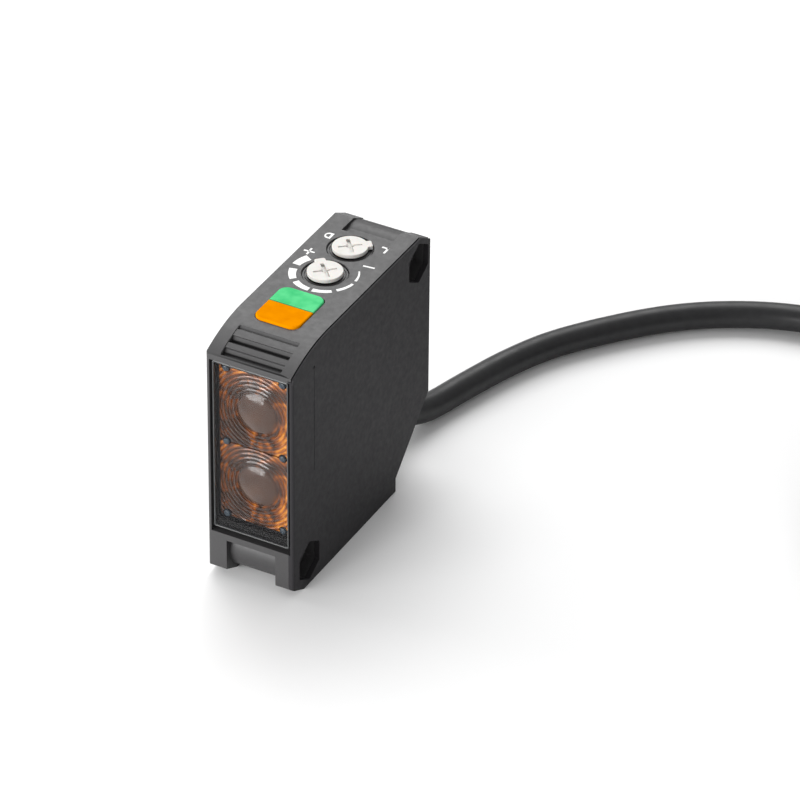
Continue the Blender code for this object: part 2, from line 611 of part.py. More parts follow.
def gland():
    """The moulded bush in the slanted face, with what holds the cable inside."""
    bore = CABLE_R + 0.1
    profile = [(bore, -3.2), (4.4, -3.2), (4.4, -1.85), (BUSH_NECK_R, -1.85), (BUSH_NECK_R, 0.3), (3.95, 0.3)]
    profile += [(3.95, 1.3), (3.45, 1.6), (3.1, BOOT_END), (bore, BOOT_END)]
    place("cable_bush", turned(profile, EXIT, OUT, 32, ring=True), ((0.02, 0.02, 0.02), 0.6))
    place("cable_end", rod(EXIT - OUT * 8.0, OUT, CABLE_R - 0.05, 8.0 + BOOT_END - 0.8, 24), SHEATH)
    clamp = [(bore, -6.4), (3.9, -6.4), (3.9, -3.6), (bore, -3.6)]
    place("cable_clamp", turned(clamp, EXIT, OUT, 24, ring=True), STEEL)
    start = EXIT - OUT * 8.3
    across = Vector((0.0, OUT.z, -OUT.y))
    for i, (colour, tint) in enumerate(LEAD_COLOURS.items()):
        far, rear = i // 2, i % 2
        first = start + Vector((0.8 * (2 * far - 1), 0, 0)) + across * 0.8 * (1 - 2 * rear)
        pad = Vector((BOARD_FACE + 0.2, 14.0 + 2.5 * rear, 21.5 + 4.0 * far))
        path = [first, first - OUT * 1.5, Vector((first.x, pad.y, pad.z - 0.8)), pad + Vector((1.5, 0, 0)), pad]
        cable_tube("inner_lead_" + colour, path, 0.5, (tint, 0.4), 1)


def coil_point(radius, angle, level):
    """A point of the coil. Its levels are the layers' heights counted from the lowest turn's centre."""
    a = math.radians(angle)
    height = COIL_FLOOR + CABLE_R + COIL_PITCH * level
    return Vector((COIL_CENTRE[0] + radius * math.cos(a), COIL_CENTRE[1] + radius * math.sin(a), height))


def cable():
    """The free run, the coil's solid, the last stretch on top of it, and its ties."""
    outer = COIL_R + COIL_PITCH / 2
    join_point = coil_point(outer, ENTRY_ANGLE, 0)
    heading = Vector((math.sin(math.radians(ENTRY_ANGLE)), -math.cos(math.radians(ENTRY_ANGLE)), 0))
    start = EXIT + OUT * (BOOT_END + TOUCH + 0.1)
    stub_start = join_point - heading * STUB
    route = [start, *FREE_ROUTE, stub_start - heading * 9, stub_start - heading * TOUCH]
    free = smooth_through(route, 8.0)
    cable_tube("cable", free, CABLE_R, SHEATH)
    reach_in = COIL_R - COIL_PITCH / 2 - CABLE_R
    reach_out = outer + CABLE_R
    tall = CABLE_D + COIL_PITCH * (COIL_LAYERS - 1)
    soft = 1.4
    profile = [(reach_in, soft), (reach_in + soft, 0), (reach_out - soft, 0), (reach_out, soft)]
    profile += [(reach_out, tall - soft), (reach_out - soft, tall), (reach_in + soft, tall), (reach_in, tall - soft)]
    ring = turned(profile, (*COIL_CENTRE, COIL_FLOOR), (0, 0, 1), 48, ring=True)
    stub = rod(stub_start, heading, CABLE_R, STUB, 12)
    place("cable_coil", combine(ring, join=[stub]), SHEATH)

    first = ENTRY_ANGLE - 360.0 * COIL_TURNS
    count = 20
    rise = COIL_LAYERS + 0.06
    tail = [coil_point(COIL_R, first - TAIL_TURN * i / count, rise) for i in range(count + 1)]
    cable_tube("cable_tail", tail, CABLE_R, SHEATH)
    leads(first - TAIL_TURN, tail[-1].z)
    ties(reach_in, reach_out, tall)


def leads(angle, height):
    """The four bare-ended leads beyond the sheath, lying on the coil, with their tinned tips."""
    low = COIL_FLOOR + CABLE_D + COIL_PITCH * (COIL_LAYERS - 1) + 0.2 + LEAD_R
    for i, (colour, tint) in enumerate(LEAD_COLOURS.items()):
        offset = (i - 1.5) * 1.45
        path = []
        for k in range(9):
            part = k / 8
            radius = COIL_R + offset * (1.0 + 0.6 * part)
            a = math.radians(angle - math.degrees(0.6 / COIL_R) - LEAD_TURN * part)
            fall = min(1.0, 2.2 * part * part * (3 - 2 * part))
            z = height + (low - height) * fall
            path.append((COIL_CENTRE[0] + radius * math.cos(a), COIL_CENTRE[1] + radius * math.sin(a), z))
        cable_tube("lead_" + colour, path, LEAD_R, (tint, 0.4), 1)
        end, before = Vector(path[-1]), Vector(path[-2])
        onward = (end - before).normalized()
        place("tip_" + colour, rod(end + onward * 0.3, onward, LEAD_R * 0.7, 5.0, 10), STEEL)


def ties(reach_in, reach_out, tall):
    """Two flat ties round the coil's section and the last stretch on top of it."""
    for i, angle in enumerate(TIE_ANGLES):
        top = COIL_FLOOR + tall + TOUCH + CABLE_D + TOUCH
        turn = Matrix.Translation((*COIL_CENTRE, 0)) @ Matrix.Rotation(math.radians(angle), 4, "Z")
        low, high = reach_in - TOUCH, reach_out + TOUCH
        loop = rounded((low - TIE_T, 0.0), (high + TIE_T, top + TIE_T), 1.6, 4)
        hole = rounded((low, TIE_T), (high, top), 1.0, 4)
        band = combine(prism(loop, "Y", -2.0, 2.0), [prism(hole, "Y", -3.0, 3.0)])
        band.transform(turn)
        place(f"coil_tie_{i + 1}", band, ((0.03, 0.03, 0.03), 0.5))


def build():
    for piece in list(bpy.data.objects):
        bpy.data.objects.remove(piece)
    case_body()
    side_cover()
    window()
    lens("emitter_lens", 1)
    lens("receiver_lens", -1)
    optics()
    main_board()
    control_board()
    indicators()
    knob("sensitivity", SENSITIVITY, SENSITIVITY_TAB)
    knob("selector", SELECTOR, SELECTOR_TAB)
    gland()
    cable()


build()
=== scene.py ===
"""The looks of a box-type photoelectric sensor: moulded case, amber optics, controls and cable.

Lengths are in millimetres here. show() and tube() turn them into metres.
"""
import json
import math

import bmesh
import bpy
from mathutils import Matrix, Vector


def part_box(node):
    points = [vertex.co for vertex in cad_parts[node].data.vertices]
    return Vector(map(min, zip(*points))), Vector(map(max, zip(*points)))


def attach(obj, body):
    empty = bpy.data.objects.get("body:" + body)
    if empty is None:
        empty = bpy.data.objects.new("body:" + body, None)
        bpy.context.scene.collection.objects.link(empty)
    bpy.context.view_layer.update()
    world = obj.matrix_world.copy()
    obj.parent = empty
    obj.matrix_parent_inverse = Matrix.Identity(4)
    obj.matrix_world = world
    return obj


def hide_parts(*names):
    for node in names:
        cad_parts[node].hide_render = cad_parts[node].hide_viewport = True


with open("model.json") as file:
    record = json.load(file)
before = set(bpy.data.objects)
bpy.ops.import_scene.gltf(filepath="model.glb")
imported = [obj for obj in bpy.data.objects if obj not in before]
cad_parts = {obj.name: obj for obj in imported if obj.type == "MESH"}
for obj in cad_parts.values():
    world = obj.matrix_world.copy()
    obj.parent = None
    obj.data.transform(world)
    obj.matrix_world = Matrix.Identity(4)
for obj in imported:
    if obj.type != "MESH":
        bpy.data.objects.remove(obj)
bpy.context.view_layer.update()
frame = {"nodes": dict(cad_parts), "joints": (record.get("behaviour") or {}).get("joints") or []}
MM = 0.001


def span(node):
    """The low and the high corner of a CAD node."""
    low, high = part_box(node)
    return low / MM, high / MM


# ---------------------------------------------------------------- places, from the frame

BODY_LOW, BODY_HIGH = span("case_body")
COVER_LOW, COVER_HIGH = span("side_cover")
PANE_LOW, PANE_HIGH = span("window_pane")
HALF_W, HALF_D, HEIGHT = COVER_HIGH.x, BODY_HIGH.y, BODY_HIGH.z
LIP_X = BODY_HIGH.x
AXES = {joint["child"]: Vector(joint["pos_m"]) / MM for joint in frame["joints"]}
SENSITIVITY, SELECTOR = AXES["sensitivity_adjuster"], AXES["mode_selector"]

# Outline and case details, which repeat the CAD's driving sizes
CORNER_Y, FOOT_Z, REAR_Z = 3.7, 1.85, 2.05
TOP_ARC_Y, TOP_ARC_R = -12.0, 30.0
SLANT_FOOT, SLANT_TOP = (12.7, 2.9), (25.0, 14.9)
EDGE_R = 0.55
WALL = 1.5
LIP = 0.5
FRONT_WALL_Y, WINDOW_FLOOR_Y = -21.5, -23.0
WINDOW_LOW, WINDOW_HIGH, WINDOW_HALF = 9.4, 46.0, 8.0
OPENING_LOW, OPENING_HIGH, OPENING_HALF = 12.0, 44.9, 7.2
MOUNT_HOLES = ((-19.3, 5.0), (20.7, 45.0))
HOLE_R, SLEEVE_R, SLEEVE_SEEN_R = 2.25, 5.2, 4.5
NUT_FLATS, NUT_DEPTH = 7.2, 3.0
CHANNEL_HALF, CHANNEL_LENGTH = 4.95, 8.1
SHELF_Z, SHELF_END = 49.2, 20.8
BAR = (21.5, 23.6, 49.3)
SEAT_R, SEAT_DEPTH = 4.2, 0.3
SEAT_GROOVES = ((2.0, 3.34), (3.62, 3.74), (4.06, SEAT_R))  # rings round each knob's stem
STEM_HOLE_R = 1.6
FLANGE = 0.7  # how far the indicators' hidden flange is wider than their caps
GROOVE_HALF = 6.05
LOUVRE_LOW, LOUVRE_HIGH, LOUVRE_DROP = -HALF_D + 0.7, -17.9, 0.12
GROOVES = ((-18.3, -18.0, 0.35), (-21.4, -20.5, 1.1), (-24.15, -23.2, 1.0))
LENS_MID, LENS_OFFSET = 28.4, 7.7
STAKE_X, STAKE_Z, STAKE_R = 5.65, 15.5, 0.65

# Cable, with the CAD's route
CABLE_R = 2.6
EXIT = Vector((0.0, 21.5, 11.5))
OUT = Vector((0.0, 1.0, -1.0)).normalized()
BOOT_END = 3.8
COIL_CENTRE = Vector((106.0, 65.4, 0.0))
COIL_R, COIL_PITCH, COIL_LAYERS = 28.6, 5.35, 5
COIL_LOW_Z = 3.7
FLOOR_GAP = 0.05  # keeps the sheath's facets above the floor
ENTRY_ANGLE = 90.0
STUB = 19.8
FREE_ROUTE = (
    (0.3, 26.4, 6.95),
    (1.2, 29.6, 4.85),
    (2.5, 33.6, 3.30),
    (4.0, 39.4, 2.62),
    (6.0, 46.5, 2.60),
    (9.1, 56.0, 2.60),
    (13.0, 64.6, 2.60),
    (18.0, 72.0, 2.60),
    (25.2, 80.6, 2.60),
    (31.0, 86.1, 2.60),
    (37.4, 90.6, 2.65),
    (44.4, 93.9, 2.85),
    (52.0, 96.0, 3.15),
    (60.0, 96.9, 3.45),
)


# ---------------------------------------------------------------- camera, lights and floor


# In metres and watts
CAMERA_PLACE = (0.3782, -0.6762, 0.5593)
CAMERA_ANGLES = (28.16, 34.59, 0.54)  # degrees round to the right, down and tilted
FOCAL_LENGTH = 237.56
WORLD_STRENGTH = 0.48
FLOOR_REACH = 6.0
OBJECT_MIDDLE, WINDOW_MIDDLE = (0.0, 0.0, 0.025), (0.0, -0.024, 0.035)
LIGHTS = (
    ("top_light", (-0.33, 0.52, 0.72), OBJECT_MIDDLE, (0.7, 0.7), 6.8),
    ("front_light", (-0.12, -0.85, 0.30), OBJECT_MIDDLE, (0.30, 0.22), 2.6),
    ("left_light", (-0.9, 0.1, 0.5), OBJECT_MIDDLE, (0.6, 0.6), 3.0),
    ("front_panel", (-0.21, -0.43, 0.09), WINDOW_MIDDLE, (0.33, 0.20), 2.0),
)


def camera():
    """The viewpoint: 28 degrees to the right of the front and 35 above it, with a long lens."""
    yaw, pitch, roll = (math.radians(angle) for angle in CAMERA_ANGLES)
    across = Vector((math.cos(yaw), math.sin(yaw), 0.0))
    ahead = Vector((-math.sin(yaw), math.cos(yaw), 0.0))
    look = ahead * math.cos(pitch) - Vector((0, 0, math.sin(pitch)))
    above = ahead * math.sin(pitch) + Vector((0, 0, math.cos(pitch)))
    right = across * math.cos(roll) + above * math.sin(roll)
    up = above * math.cos(roll) - across * math.sin(roll)
    data = bpy.data.cameras.new("camera")
    data.lens = FOCAL_LENGTH
    data.clip_start = 0.01
    eye = bpy.data.objects.new("camera", data)
    turned_to = Matrix((right, up, -look)).transposed().to_4x4()
    eye.matrix_world = Matrix.Translation(CAMERA_PLACE) @ turned_to
    bpy.context.scene.collection.objects.link(eye)
    bpy.context.scene.camera = eye


def soft_light(name, place, aim, size, power):
    """A softbox: an area light at a place, turned towards its aim."""
    data = bpy.data.lights.new(name, "AREA")
    data.shape = "RECTANGLE"
    data.size, data.size_y = size
    data.energy = power
    lamp = bpy.data.objects.new(name, data)
    lamp.location = place
    lamp.rotation_euler = (Vector(aim) - Vector(place)).to_track_quat("-Z", "Y").to_euler()
    bpy.context.scene.collection.objects.link(lamp)


def studio():
    bpy.context.scene.view_settings.view_transform = "Standard"
    world = bpy.data.worlds.new("studio")
    world.use_nodes = True
    background = world.node_tree.nodes["Background"]
    background.inputs["Color"].default_value = (1.0, 1.0, 1.0, 1.0)
    background.inputs["Strength"].default_value = WORLD_STRENGTH
    bpy.context.scene.world = world
    for light in LIGHTS:
        soft_light(*light)


def floor():
    mesh = bpy.data.meshes.new("floor")
    corners = [(x * FLOOR_REACH, y * FLOOR_REACH, 0) for x, y in ((-1, -1), (1, -1), (1, 1), (-1, 1))]
    mesh.from_pydata(corners, [], [(0, 1, 2, 3)])
    sheet = bpy.data.objects.new("floor", mesh)
    bpy.context.scene.collection.objects.link(sheet)
    tree = Shader("floor_paper", (0.90, 0.90, 0.90), 0.9)
    tree.set("Specular IOR Level", 0.1)
    mesh.materials.append(tree.material)


# ---------------------------------------------------------------- materials


class Shader:
    """A node material round one principled shader, with shorthands for what the finishes share."""

    def __init__(self, name, colour, roughness, metallic=0.0):
        self.material = bpy.data.materials.new(name)
        self.material.use_nodes = True
        self.tree = self.material.node_tree
        self.shader = self.tree.nodes["Principled BSDF"]
        self.colour = colour
        self.set("Base Color", (*colour, 1.0))
        self.set("Roughness", roughness)
        self.set("Metallic", metallic)
        self.where = self.node("ShaderNodeTexCoord").outputs["Object"]
        self.height = None

    def set(self, socket, value):
        self.shader.inputs[socket].default_value = value
        return self

    def node(self, kind, **settings):
        made = self.tree.nodes.new(kind)
        for key, value in settings.items():
            setattr(made, key, value)
        return made

    def link(self, source, target):
        self.tree.links.new(source, target)

    def math(self, operation, *values):
        made = self.node("ShaderNodeMath", operation=operation)
        for socket, value in zip(made.inputs, values):
            if isinstance(value, (int, float)):
                socket.default_value = value
            else:
                self.link(value, socket)
        return made.outputs[0]

    def noise(self, size, detail=2.0, stretch=None, distortion=0.0):
        """Noise whose features are about size millimetres."""
        made = self.node("ShaderNodeTexNoise")
        made.inputs["Scale"].default_value = 1.0 / (size * MM)
        made.inputs["Detail"].default_value = detail
        made.inputs["Distortion"].default_value = distortion
        source = self.where
        if stretch:
            scaled = self.node("ShaderNodeMapping")
            scaled.inputs["Scale"].default_value = stretch
            self.link(source, scaled.inputs["Vector"])
            source = scaled.outputs[0]
        self.link(source, made.inputs["Vector"])
        return made.outputs["Fac"]

    def ramp(self, value, stops):
        """Colours over a value, as (position, colour) pairs."""
        made = self.node("ShaderNodeValToRGB")
        bands = made.color_ramp.elements
        while len(bands) < len(stops):
            bands.new(0.5)
        for band, (position, colour) in zip(bands, stops):
            band.position = position
            band.color = (*colour, 1.0)
        self.link(value, made.inputs["Fac"])
        return made.outputs["Color"]

    def mix(self, factor, one, two):
        made = self.node("ShaderNodeMix", data_type="RGBA")
        for socket, value in zip((made.inputs[0], made.inputs[6], made.inputs[7]), (factor, one, two)):
            if isinstance(value, tuple):
                socket.default_value = (*value, 1.0)
            elif isinstance(value, (int, float)):
                socket.default_value = value
            else:
                self.link(value, socket)
        return made.outputs[2]

    def tint(self, colour):
        self.link(colour, self.shader.inputs["Base Color"])
        return self

    def mottle(self, size, amount):
        """Uneven colour: the base colour from a little darker to a little lighter."""
        low = tuple(c * (1 - amount) for c in self.colour)
        high = tuple(min(1.0, c * (1 + amount)) for c in self.colour)
        return self.tint(self.ramp(self.noise(size), ((0.3, low), (0.7, high))))

    def rough(self, size, low, high):
        """Uneven roughness."""
        scaled = self.node("ShaderNodeMapRange")
        self.link(self.noise(size, 4.0), scaled.inputs["Value"])
        scaled.inputs["From Min"].default_value = 0.3
        scaled.inputs["From Max"].default_value = 0.7
        scaled.inputs["To Min"].default_value = low
        scaled.inputs["To Max"].default_value = high
        self.link(scaled.outputs[0], self.shader.inputs["Roughness"])
        return self

    def bump(self, value, depth, strength=1.0):
        """Relief of the given depth in millimetres. A second call goes on top of the first."""
        made = self.node("ShaderNodeBump")
        made.inputs["Distance"].default_value = depth * MM
        made.inputs["Strength"].default_value = strength
        self.link(value, made.inputs["Height"])
        if self.height:
            self.link(self.height, made.inputs["Normal"])
        self.height = made.outputs[0]
        self.link(self.height, self.shader.inputs["Normal"])
        return self


def moulded(name, colour, roughness=0.45, grain=0.09, depth=0.006, specular=0.5):
    """Spark-textured moulded plastic."""
    look = Shader(name, colour, roughness).mottle(0.35, 0.10).rough(0.6, roughness - 0.05, roughness + 0.06)
    return look.set("Specular IOR Level", specular).bump(look.noise(grain, 3.0), depth)


def case_plastic(name, colour, roughness, specular, uneven):
    """Charcoal plastic, with a little paler grain and faint flow marks."""
    look = Shader(name, colour, roughness)
    grain = look.noise(0.16, 4.0)
    flow = look.noise(7.0, 2.0, (1.0, 0.4, 1.0))
    blend = look.math("ADD", look.math("MULTIPLY", grain, 0.7), look.math("MULTIPLY", flow, 0.3))
    dark, pale = (tuple(c * (1 + change) for c in colour) for change in (-uneven, uneven))
    look.tint(look.ramp(blend, ((0.38, dark), (0.62, pale))))
    look.rough(0.9, roughness - 0.05, roughness + 0.07)
    return look.set("Specular IOR Level", specular).bump(look.noise(0.11, 3.0), 0.007)


def amber(name):
    """Moulded amber plastic with painted light: its own brown, with painted gold glints where light comes
    through, placed by noise and lighter towards +X, the outer rings and the ring crests, and dim behind the
    dome.
    """
    look = Shader(name, (0.30, 0.09, 0.02), 0.12)
    flat = look.node("ShaderNodeVectorMath", operation="MULTIPLY")
    look.link(look.where, flat.inputs[0])
    flat.inputs[1].default_value = (1.0, 0.0, 1.0)
    reach = look.node("ShaderNodeVectorMath", operation="LENGTH")
    look.link(flat.outputs[0], reach.inputs[0])
    radius = look.math("MULTIPLY", reach.outputs["Value"], 1 / MM)
    # Painted light: side grows towards +X and a little up, the side of the lens that the light reaches most,
    # and lightens the colour there.
    towards = look.node("ShaderNodeVectorMath", operation="DOT_PRODUCT")
    look.link(flat.outputs[0], towards.inputs[0])
    towards.inputs[1].default_value = (0.9, 0.0, 0.1)
    side = look.math("MULTIPLY", towards.outputs["Value"], 1 / (7.5 * MM))
    swirl = look.noise(4.2, 2.0, distortion=1.4)
    value = look.math("ADD", look.math("MULTIPLY", side, 0.13), look.math("MULTIPLY", swirl, 1.15))
    # Painted light: the colour also grows lighter towards the outer rings.
    value = look.math("ADD", value, look.math("MULTIPLY", look.math("SUBTRACT", radius, 9.0), 0.04))
    # Painted glints: lighter bands, one to each ring pitch, along the ring crests.
    rings = look.math("SINE", look.math("MULTIPLY", radius, 2 * math.pi / RING_PITCH))
    value = look.math("ADD", value, look.math("MULTIPLY", rings, 0.085))
    # The ramp turns this into the amber's own brown and the gold of painted glints, which swirl places at
    # random.
    body = look.ramp(value, AMBER_GLINT_STOPS)
    core = look.node("ShaderNodeMapRange")
    look.link(radius, core.inputs["Value"])
    core.inputs["From Min"].default_value = DOME_R - 0.5
    core.inputs["From Max"].default_value = DOME_R + 0.1
    depth = look.ramp(look.noise(4.0, 1.0), ((0.3, (0.052, 0.026, 0.017)), (0.7, (0.086, 0.044, 0.028))))
    look.tint(look.mix(core.outputs[0], depth, body))
    return look.set("Specular IOR Level", 0.3).set("Coat Weight", 0.35).set("Coat Roughness", 0.03)


def clear_pane():
    """A thin, slightly smoked pane, which lets light through and mirrors a little."""
    look = Shader("pane_plastic", (0.06, 0.06, 0.063), 0.03)
    return look.set("Alpha", 0.08).set("IOR", 1.5).rough(2.0, 0.02, 0.05)


def cap_plastic(name, colour, deep):
    """Matt coloured plastic over a lamp, a little deeper in colour here and there."""
    look = Shader(name, colour, 0.32)
    look.tint(look.ramp(look.noise(2.6, 2.0), ((0.30, deep), (0.62, colour))))
    look.set("Specular IOR Level", 0.0)
    return look.rough(0.5, 0.30, 0.40).bump(look.noise(0.22, 3.0), 0.01)


def ivory():
    look = Shader("knob_ivory", (0.63, 0.615, 0.585), 0.42).mottle(1.2, 0.035).rough(0.5, 0.33, 0.44)
    look.set("Subsurface Weight", 0.10).set("Subsurface Scale", 0.4 * MM).set("Specular IOR Level", 0.3)
    return look.bump(look.noise(0.14, 3.0), 0.006)


def sheath():
    """Cable sheath: soft vinyl with fine extrusion streaks."""
    look = Shader("cable_sheath", (0.020, 0.020, 0.021), 0.42).mottle(1.5, 0.12).rough(2.5, 0.36, 0.48)
    look.set("Specular IOR Level", 0.3)
    return look.bump(look.noise(0.25, 4.0), 0.012)


def rubber(name="black_rubber", colour=(0.018, 0.018, 0.018), specular=0.5):
    look = Shader(name, colour, 0.72).mottle(0.8, 0.25).rough(0.8, 0.64, 0.8)
    look.set("Specular IOR Level", specular)
    return look.bump(look.noise(0.18, 4.0), 0.012)


def tin():
    look = Shader("tinned_metal", (0.66, 0.65, 0.62), 0.3, 1.0).mottle(0.6, 0.08).rough(0.5, 0.22, 0.38)
    return look.bump(look.noise(0.3, 3.0, (1.0, 1.0, 6.0)), 0.006)


def circuit_board():
    """Green solder resist, with paler tracks and pads underneath."""
    look = Shader("circuit_board", (0.012, 0.11, 0.045), 0.35)
    tracks = look.node("ShaderNodeTexBrick")
    look.link(look.where, tracks.inputs["Vector"])
    tracks.inputs["Scale"].default_value = 180.0
    tracks.inputs["Color1"].default_value = (0.010, 0.095, 0.040, 1)
    tracks.inputs["Color2"].default_value = (0.014, 0.125, 0.052, 1)
    tracks.inputs["Mortar"].default_value = (0.03, 0.22, 0.09, 1)
    return look.tint(tracks.outputs["Color"]).bump(tracks.outputs["Fac"], 0.03).rough(0.7, 0.28, 0.42)


def insulation(name, colour):
    look = Shader("insulation_" + name, colour, 0.36).mottle(0.9, 0.10).rough(0.7, 0.3, 0.42)
    return look.bump(look.noise(0.2, 3.0), 0.006)


def ink():
    look = Shader("legend_ink", (0.86, 0.86, 0.85), 0.5).mottle(0.25, 0.05)
    return look.bump(look.noise(0.1, 3.0), 0.005)


def clear_lamp(name, colour):
    look = Shader(name, colour, 0.12).mottle(0.8, 0.08)
    return look.set("Transmission Weight", 0.3).bump(look.noise(0.5, 2.0), 0.01)


# ---------------------------------------------------------------- shapes


def prism(outline, axis, low, high):
    """A straight solid: an outline in the other two axes, carried from low to high."""
    order = {"X": (2, 0, 1), "Y": (0, 2, 1), "Z": (0, 1, 2)}[axis]
    solid = bmesh.new()
    rings = []
    for level in (low, high):
        flats = [(point[0], point[1], level) for point in outline]
        rings.append([solid.verts.new([flat[i] for i in order]) for flat in flats])
    solid.faces.new(rings[0])
    solid.faces.new(rings[1])
    for i in range(len(outline)):
        j = (i + 1) % len(outline)
        solid.faces.new((rings[0][i], rings[0][j], rings[1][j], rings[1][i]))
    bmesh.ops.recalc_face_normals(solid, faces=solid.faces)
    return solid


def block(x, y, z):
    return prism(((x[0], y[0]), (x[1], y[0]), (x[1], y[1]), (x[0], y[1])), "Z", *z)


def circle(centre, radius, count=64, first=0.0):
    steps = [math.radians(first + 360.0 * i / count) for i in range(count)]
    return [(centre[0] + radius * math.cos(a), centre[1] + radius * math.sin(a)) for a in steps]


def rounded(low, high, radius, count=7):
    """A rectangle with round corners, from its low to its high corner."""
    points = []
    centres = ((high[0], high[1], 0), (low[0], high[1], 90), (low[0], low[1], 180), (high[0], low[1], 270))
    for corner_x, corner_y, start in centres:
        x = corner_x - math.copysign(radius, corner_x - (low[0] + high[0]) / 2)
        y = corner_y - math.copysign(radius, corner_y - (low[1] + high[1]) / 2)
        for i in range(count):
            a = math.radians(start + 90.0 * i / (count - 1))
            points.append((x + radius * math.cos(a), y + radius * math.sin(a)))
    return points


def turned(profile, centre, axis, count=64, ring=False):
    """A solid of revolution. The profile's points are (radius, distance along the axis) from centre."""
    turn = Vector(axis).to_track_quat("Z", "Y").to_matrix()
    solid = bmesh.new()
    rows = []
    for radius, along in profile:
        row = []
        for i in range(count if radius > 0 else 1):
            a = 2 * math.pi * i / count
            spot = Vector((radius * math.cos(a), radius * math.sin(a), along))
            row.append(solid.verts.new(Vector(centre) + turn @ spot))
        rows.append(row)
    pairs = list(zip(rows, rows[1:] + rows[:1])) if ring else list(zip(rows, rows[1:]))
    for one, two in pairs:
        for i in range(count):
            j = (i + 1) % count
            corners = [one[i % len(one)], one[j % len(one)], two[j % len(two)], two[i % len(two)]]
            solid.faces.new(list(dict.fromkeys(corners)))
    for end in (rows[0], rows[-1]):
        if not ring and len(end) > 1:
            solid.faces.new(end)
    bmesh.ops.recalc_face_normals(solid, faces=solid.faces)
    return solid


def rod(centre, axis, radius, length, count=48):
    return turned(((radius, 0.0), (radius, length)), centre, axis, count)


def combine(base, cut=(), join=(), keep_in=()):
    """The base with the join solids added, the cut solids taken away and only what is in keep_in kept."""
    scratch = []
    for solid in (base, *join, *cut, *keep_in):
        mesh = bpy.data.meshes.new("scratch")
        solid.to_mesh(mesh)
        solid.free()
        scratch.append(bpy.data.objects.new("scratch", mesh))
        bpy.context.scene.collection.objects.link(scratch[-1])
    steps = ["UNION"] * len(join) + ["DIFFERENCE"] * len(cut) + ["INTERSECT"] * len(keep_in)
    for operation, other in zip(steps, scratch[1:]):
        step = scratch[0].modifiers.new("step", "BOOLEAN")
        step.operation = operation
        step.solver = "EXACT"
        step.object = other
    shape = scratch[0].evaluated_get(bpy.context.evaluated_depsgraph_get())
    result = bmesh.new()
    result.from_mesh(shape.data)
    for piece in scratch:
        mesh = piece.data
        bpy.data.objects.remove(piece)
        bpy.data.meshes.remove(mesh)
    bmesh.ops.remove_doubles(result, verts=result.verts, dist=0.002)
    bmesh.ops.dissolve_limit(
        result, angle_limit=math.radians(0.2), verts=result.verts, edges=result.edges, delimit={"NORMAL"}
    )
    return result


def soften(solid, width, chosen=None, segments=2, angle=30.0):
    """Rounds the sharp edges, or the chosen ones among them, by the width."""
    sharp = []
    for edge in solid.edges:
        if len(edge.link_faces) == 2 and edge.calc_face_angle(0.0) > math.radians(angle):
            if chosen is None or chosen(edge):
                sharp.append(edge)
    bmesh.ops.bevel(
        solid, geom=sharp, offset=width, offset_type="OFFSET", segments=segments, profile=0.5,
        affect="EDGES", clamp_overlap=True,
    )
    return solid


def finish_piece(piece, body, replaced, look):
    """Gives a piece its material and body, links it into the scene and hides the CAD nodes that it stands
    for.
    """
    if look:
        piece.data.materials.append(look.material)
    bpy.context.scene.collection.objects.link(piece)
    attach(piece, body)
    if replaced:
        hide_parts(*replaced)
    return piece


def show(name, solid, look, replaced=(), body="housing", home=(0, 0, 0), crease=32.0):
    """Makes a visible piece in metres, with its origin at home."""
    solid.transform(Matrix.Scale(MM, 4) @ Matrix.Translation(-Vector(home)))
    mesh = bpy.data.meshes.new(name)
    solid.to_mesh(mesh)
    solid.free()
    mesh.shade_smooth()
    mesh.set_sharp_from_angle(angle=math.radians(crease))
    piece = bpy.data.objects.new(name, mesh)
    piece.location = Vector(home) * MM
    even = piece.modifiers.new("even_shading", "WEIGHTED_NORMAL")
    even.keep_sharp = True
    return finish_piece(piece, body, replaced, look)


def tube(name, points, radius, look, replaced=(), resolution=6):
    """A round cable or wire along the points."""
    curve = bpy.data.curves.new(name, "CURVE")
    curve.dimensions = "3D"
    curve.bevel_depth = radius * MM
    curve.bevel_resolution = resolution
    curve.use_fill_caps = True
    spline = curve.splines.new("POLY")
    spline.points.add(len(points) - 1)
    spline.use_smooth = True
    for spot, point in zip(spline.points, points):
        spot.co = (*(Vector(point) * MM), 1.0)
    return finish_piece(bpy.data.objects.new(name, curve), "housing", replaced, look)


def smooth_through(points, step):
    """Points a step apart on a smooth curve through the given ones (a centripetal Catmull-Rom)."""
    points = [Vector(p) for p in points]
    ends = [2 * points[0] - points[1], *points, 2 * points[-1] - points[-2]]
    fine = []
    for before, start, stop, after in zip(ends, ends[1:], ends[2:], ends[3:]):
        knots = [0.0]
        for one, two in ((before, start), (start, stop), (stop, after)):
            knots.append(knots[-1] + math.sqrt((two - one).length))
        for i in range(16):
            t = knots[1] + (knots[2] - knots[1]) * i / 16
            row = [before, start, stop, after]
            for spans in (((0, 1), (1, 2), (2, 3)), ((0, 2), (1, 3)), ((1, 2),)):
                parts = [(t - knots[low]) / (knots[high] - knots[low]) for low, high in spans]
                row = [row[k].lerp(row[k + 1], part) for k, part in enumerate(parts)]
            fine.append(row[0])
    fine.append(points[-1])
    runs = [(b - a).length for a, b in zip(fine, fine[1:])]
    count = max(1, round(sum(runs) / step))
    result, passed, i = [fine[0]], 0.0, 0
    for k in range(1, count):
        target = sum(runs) * k / count
        while passed + runs[i] < target:
            passed += runs[i]
            i += 1
        result.append(fine[i].lerp(fine[i + 1], (target - passed) / runs[i]))
    return result + [fine[-1]]


# ---------------------------------------------------------------- cable and coil

SHEATH_LOOK = sheath()


def ease(part):
    part = min(1.0, max(0.0, part))
    return part * part * (3 - 2 * part)


OUTER = 0.5  # pitches out from the middle of the turns
LAYER_TURN, CROSS_TURN = 300, 30  # degrees of a turn in its column, and of its way to the next
TAIL_TURN = 275  # degrees of the last stretch, on top
TAIL_LIFT = 0.06  # layers by which it lies higher than the layer beneath would put it


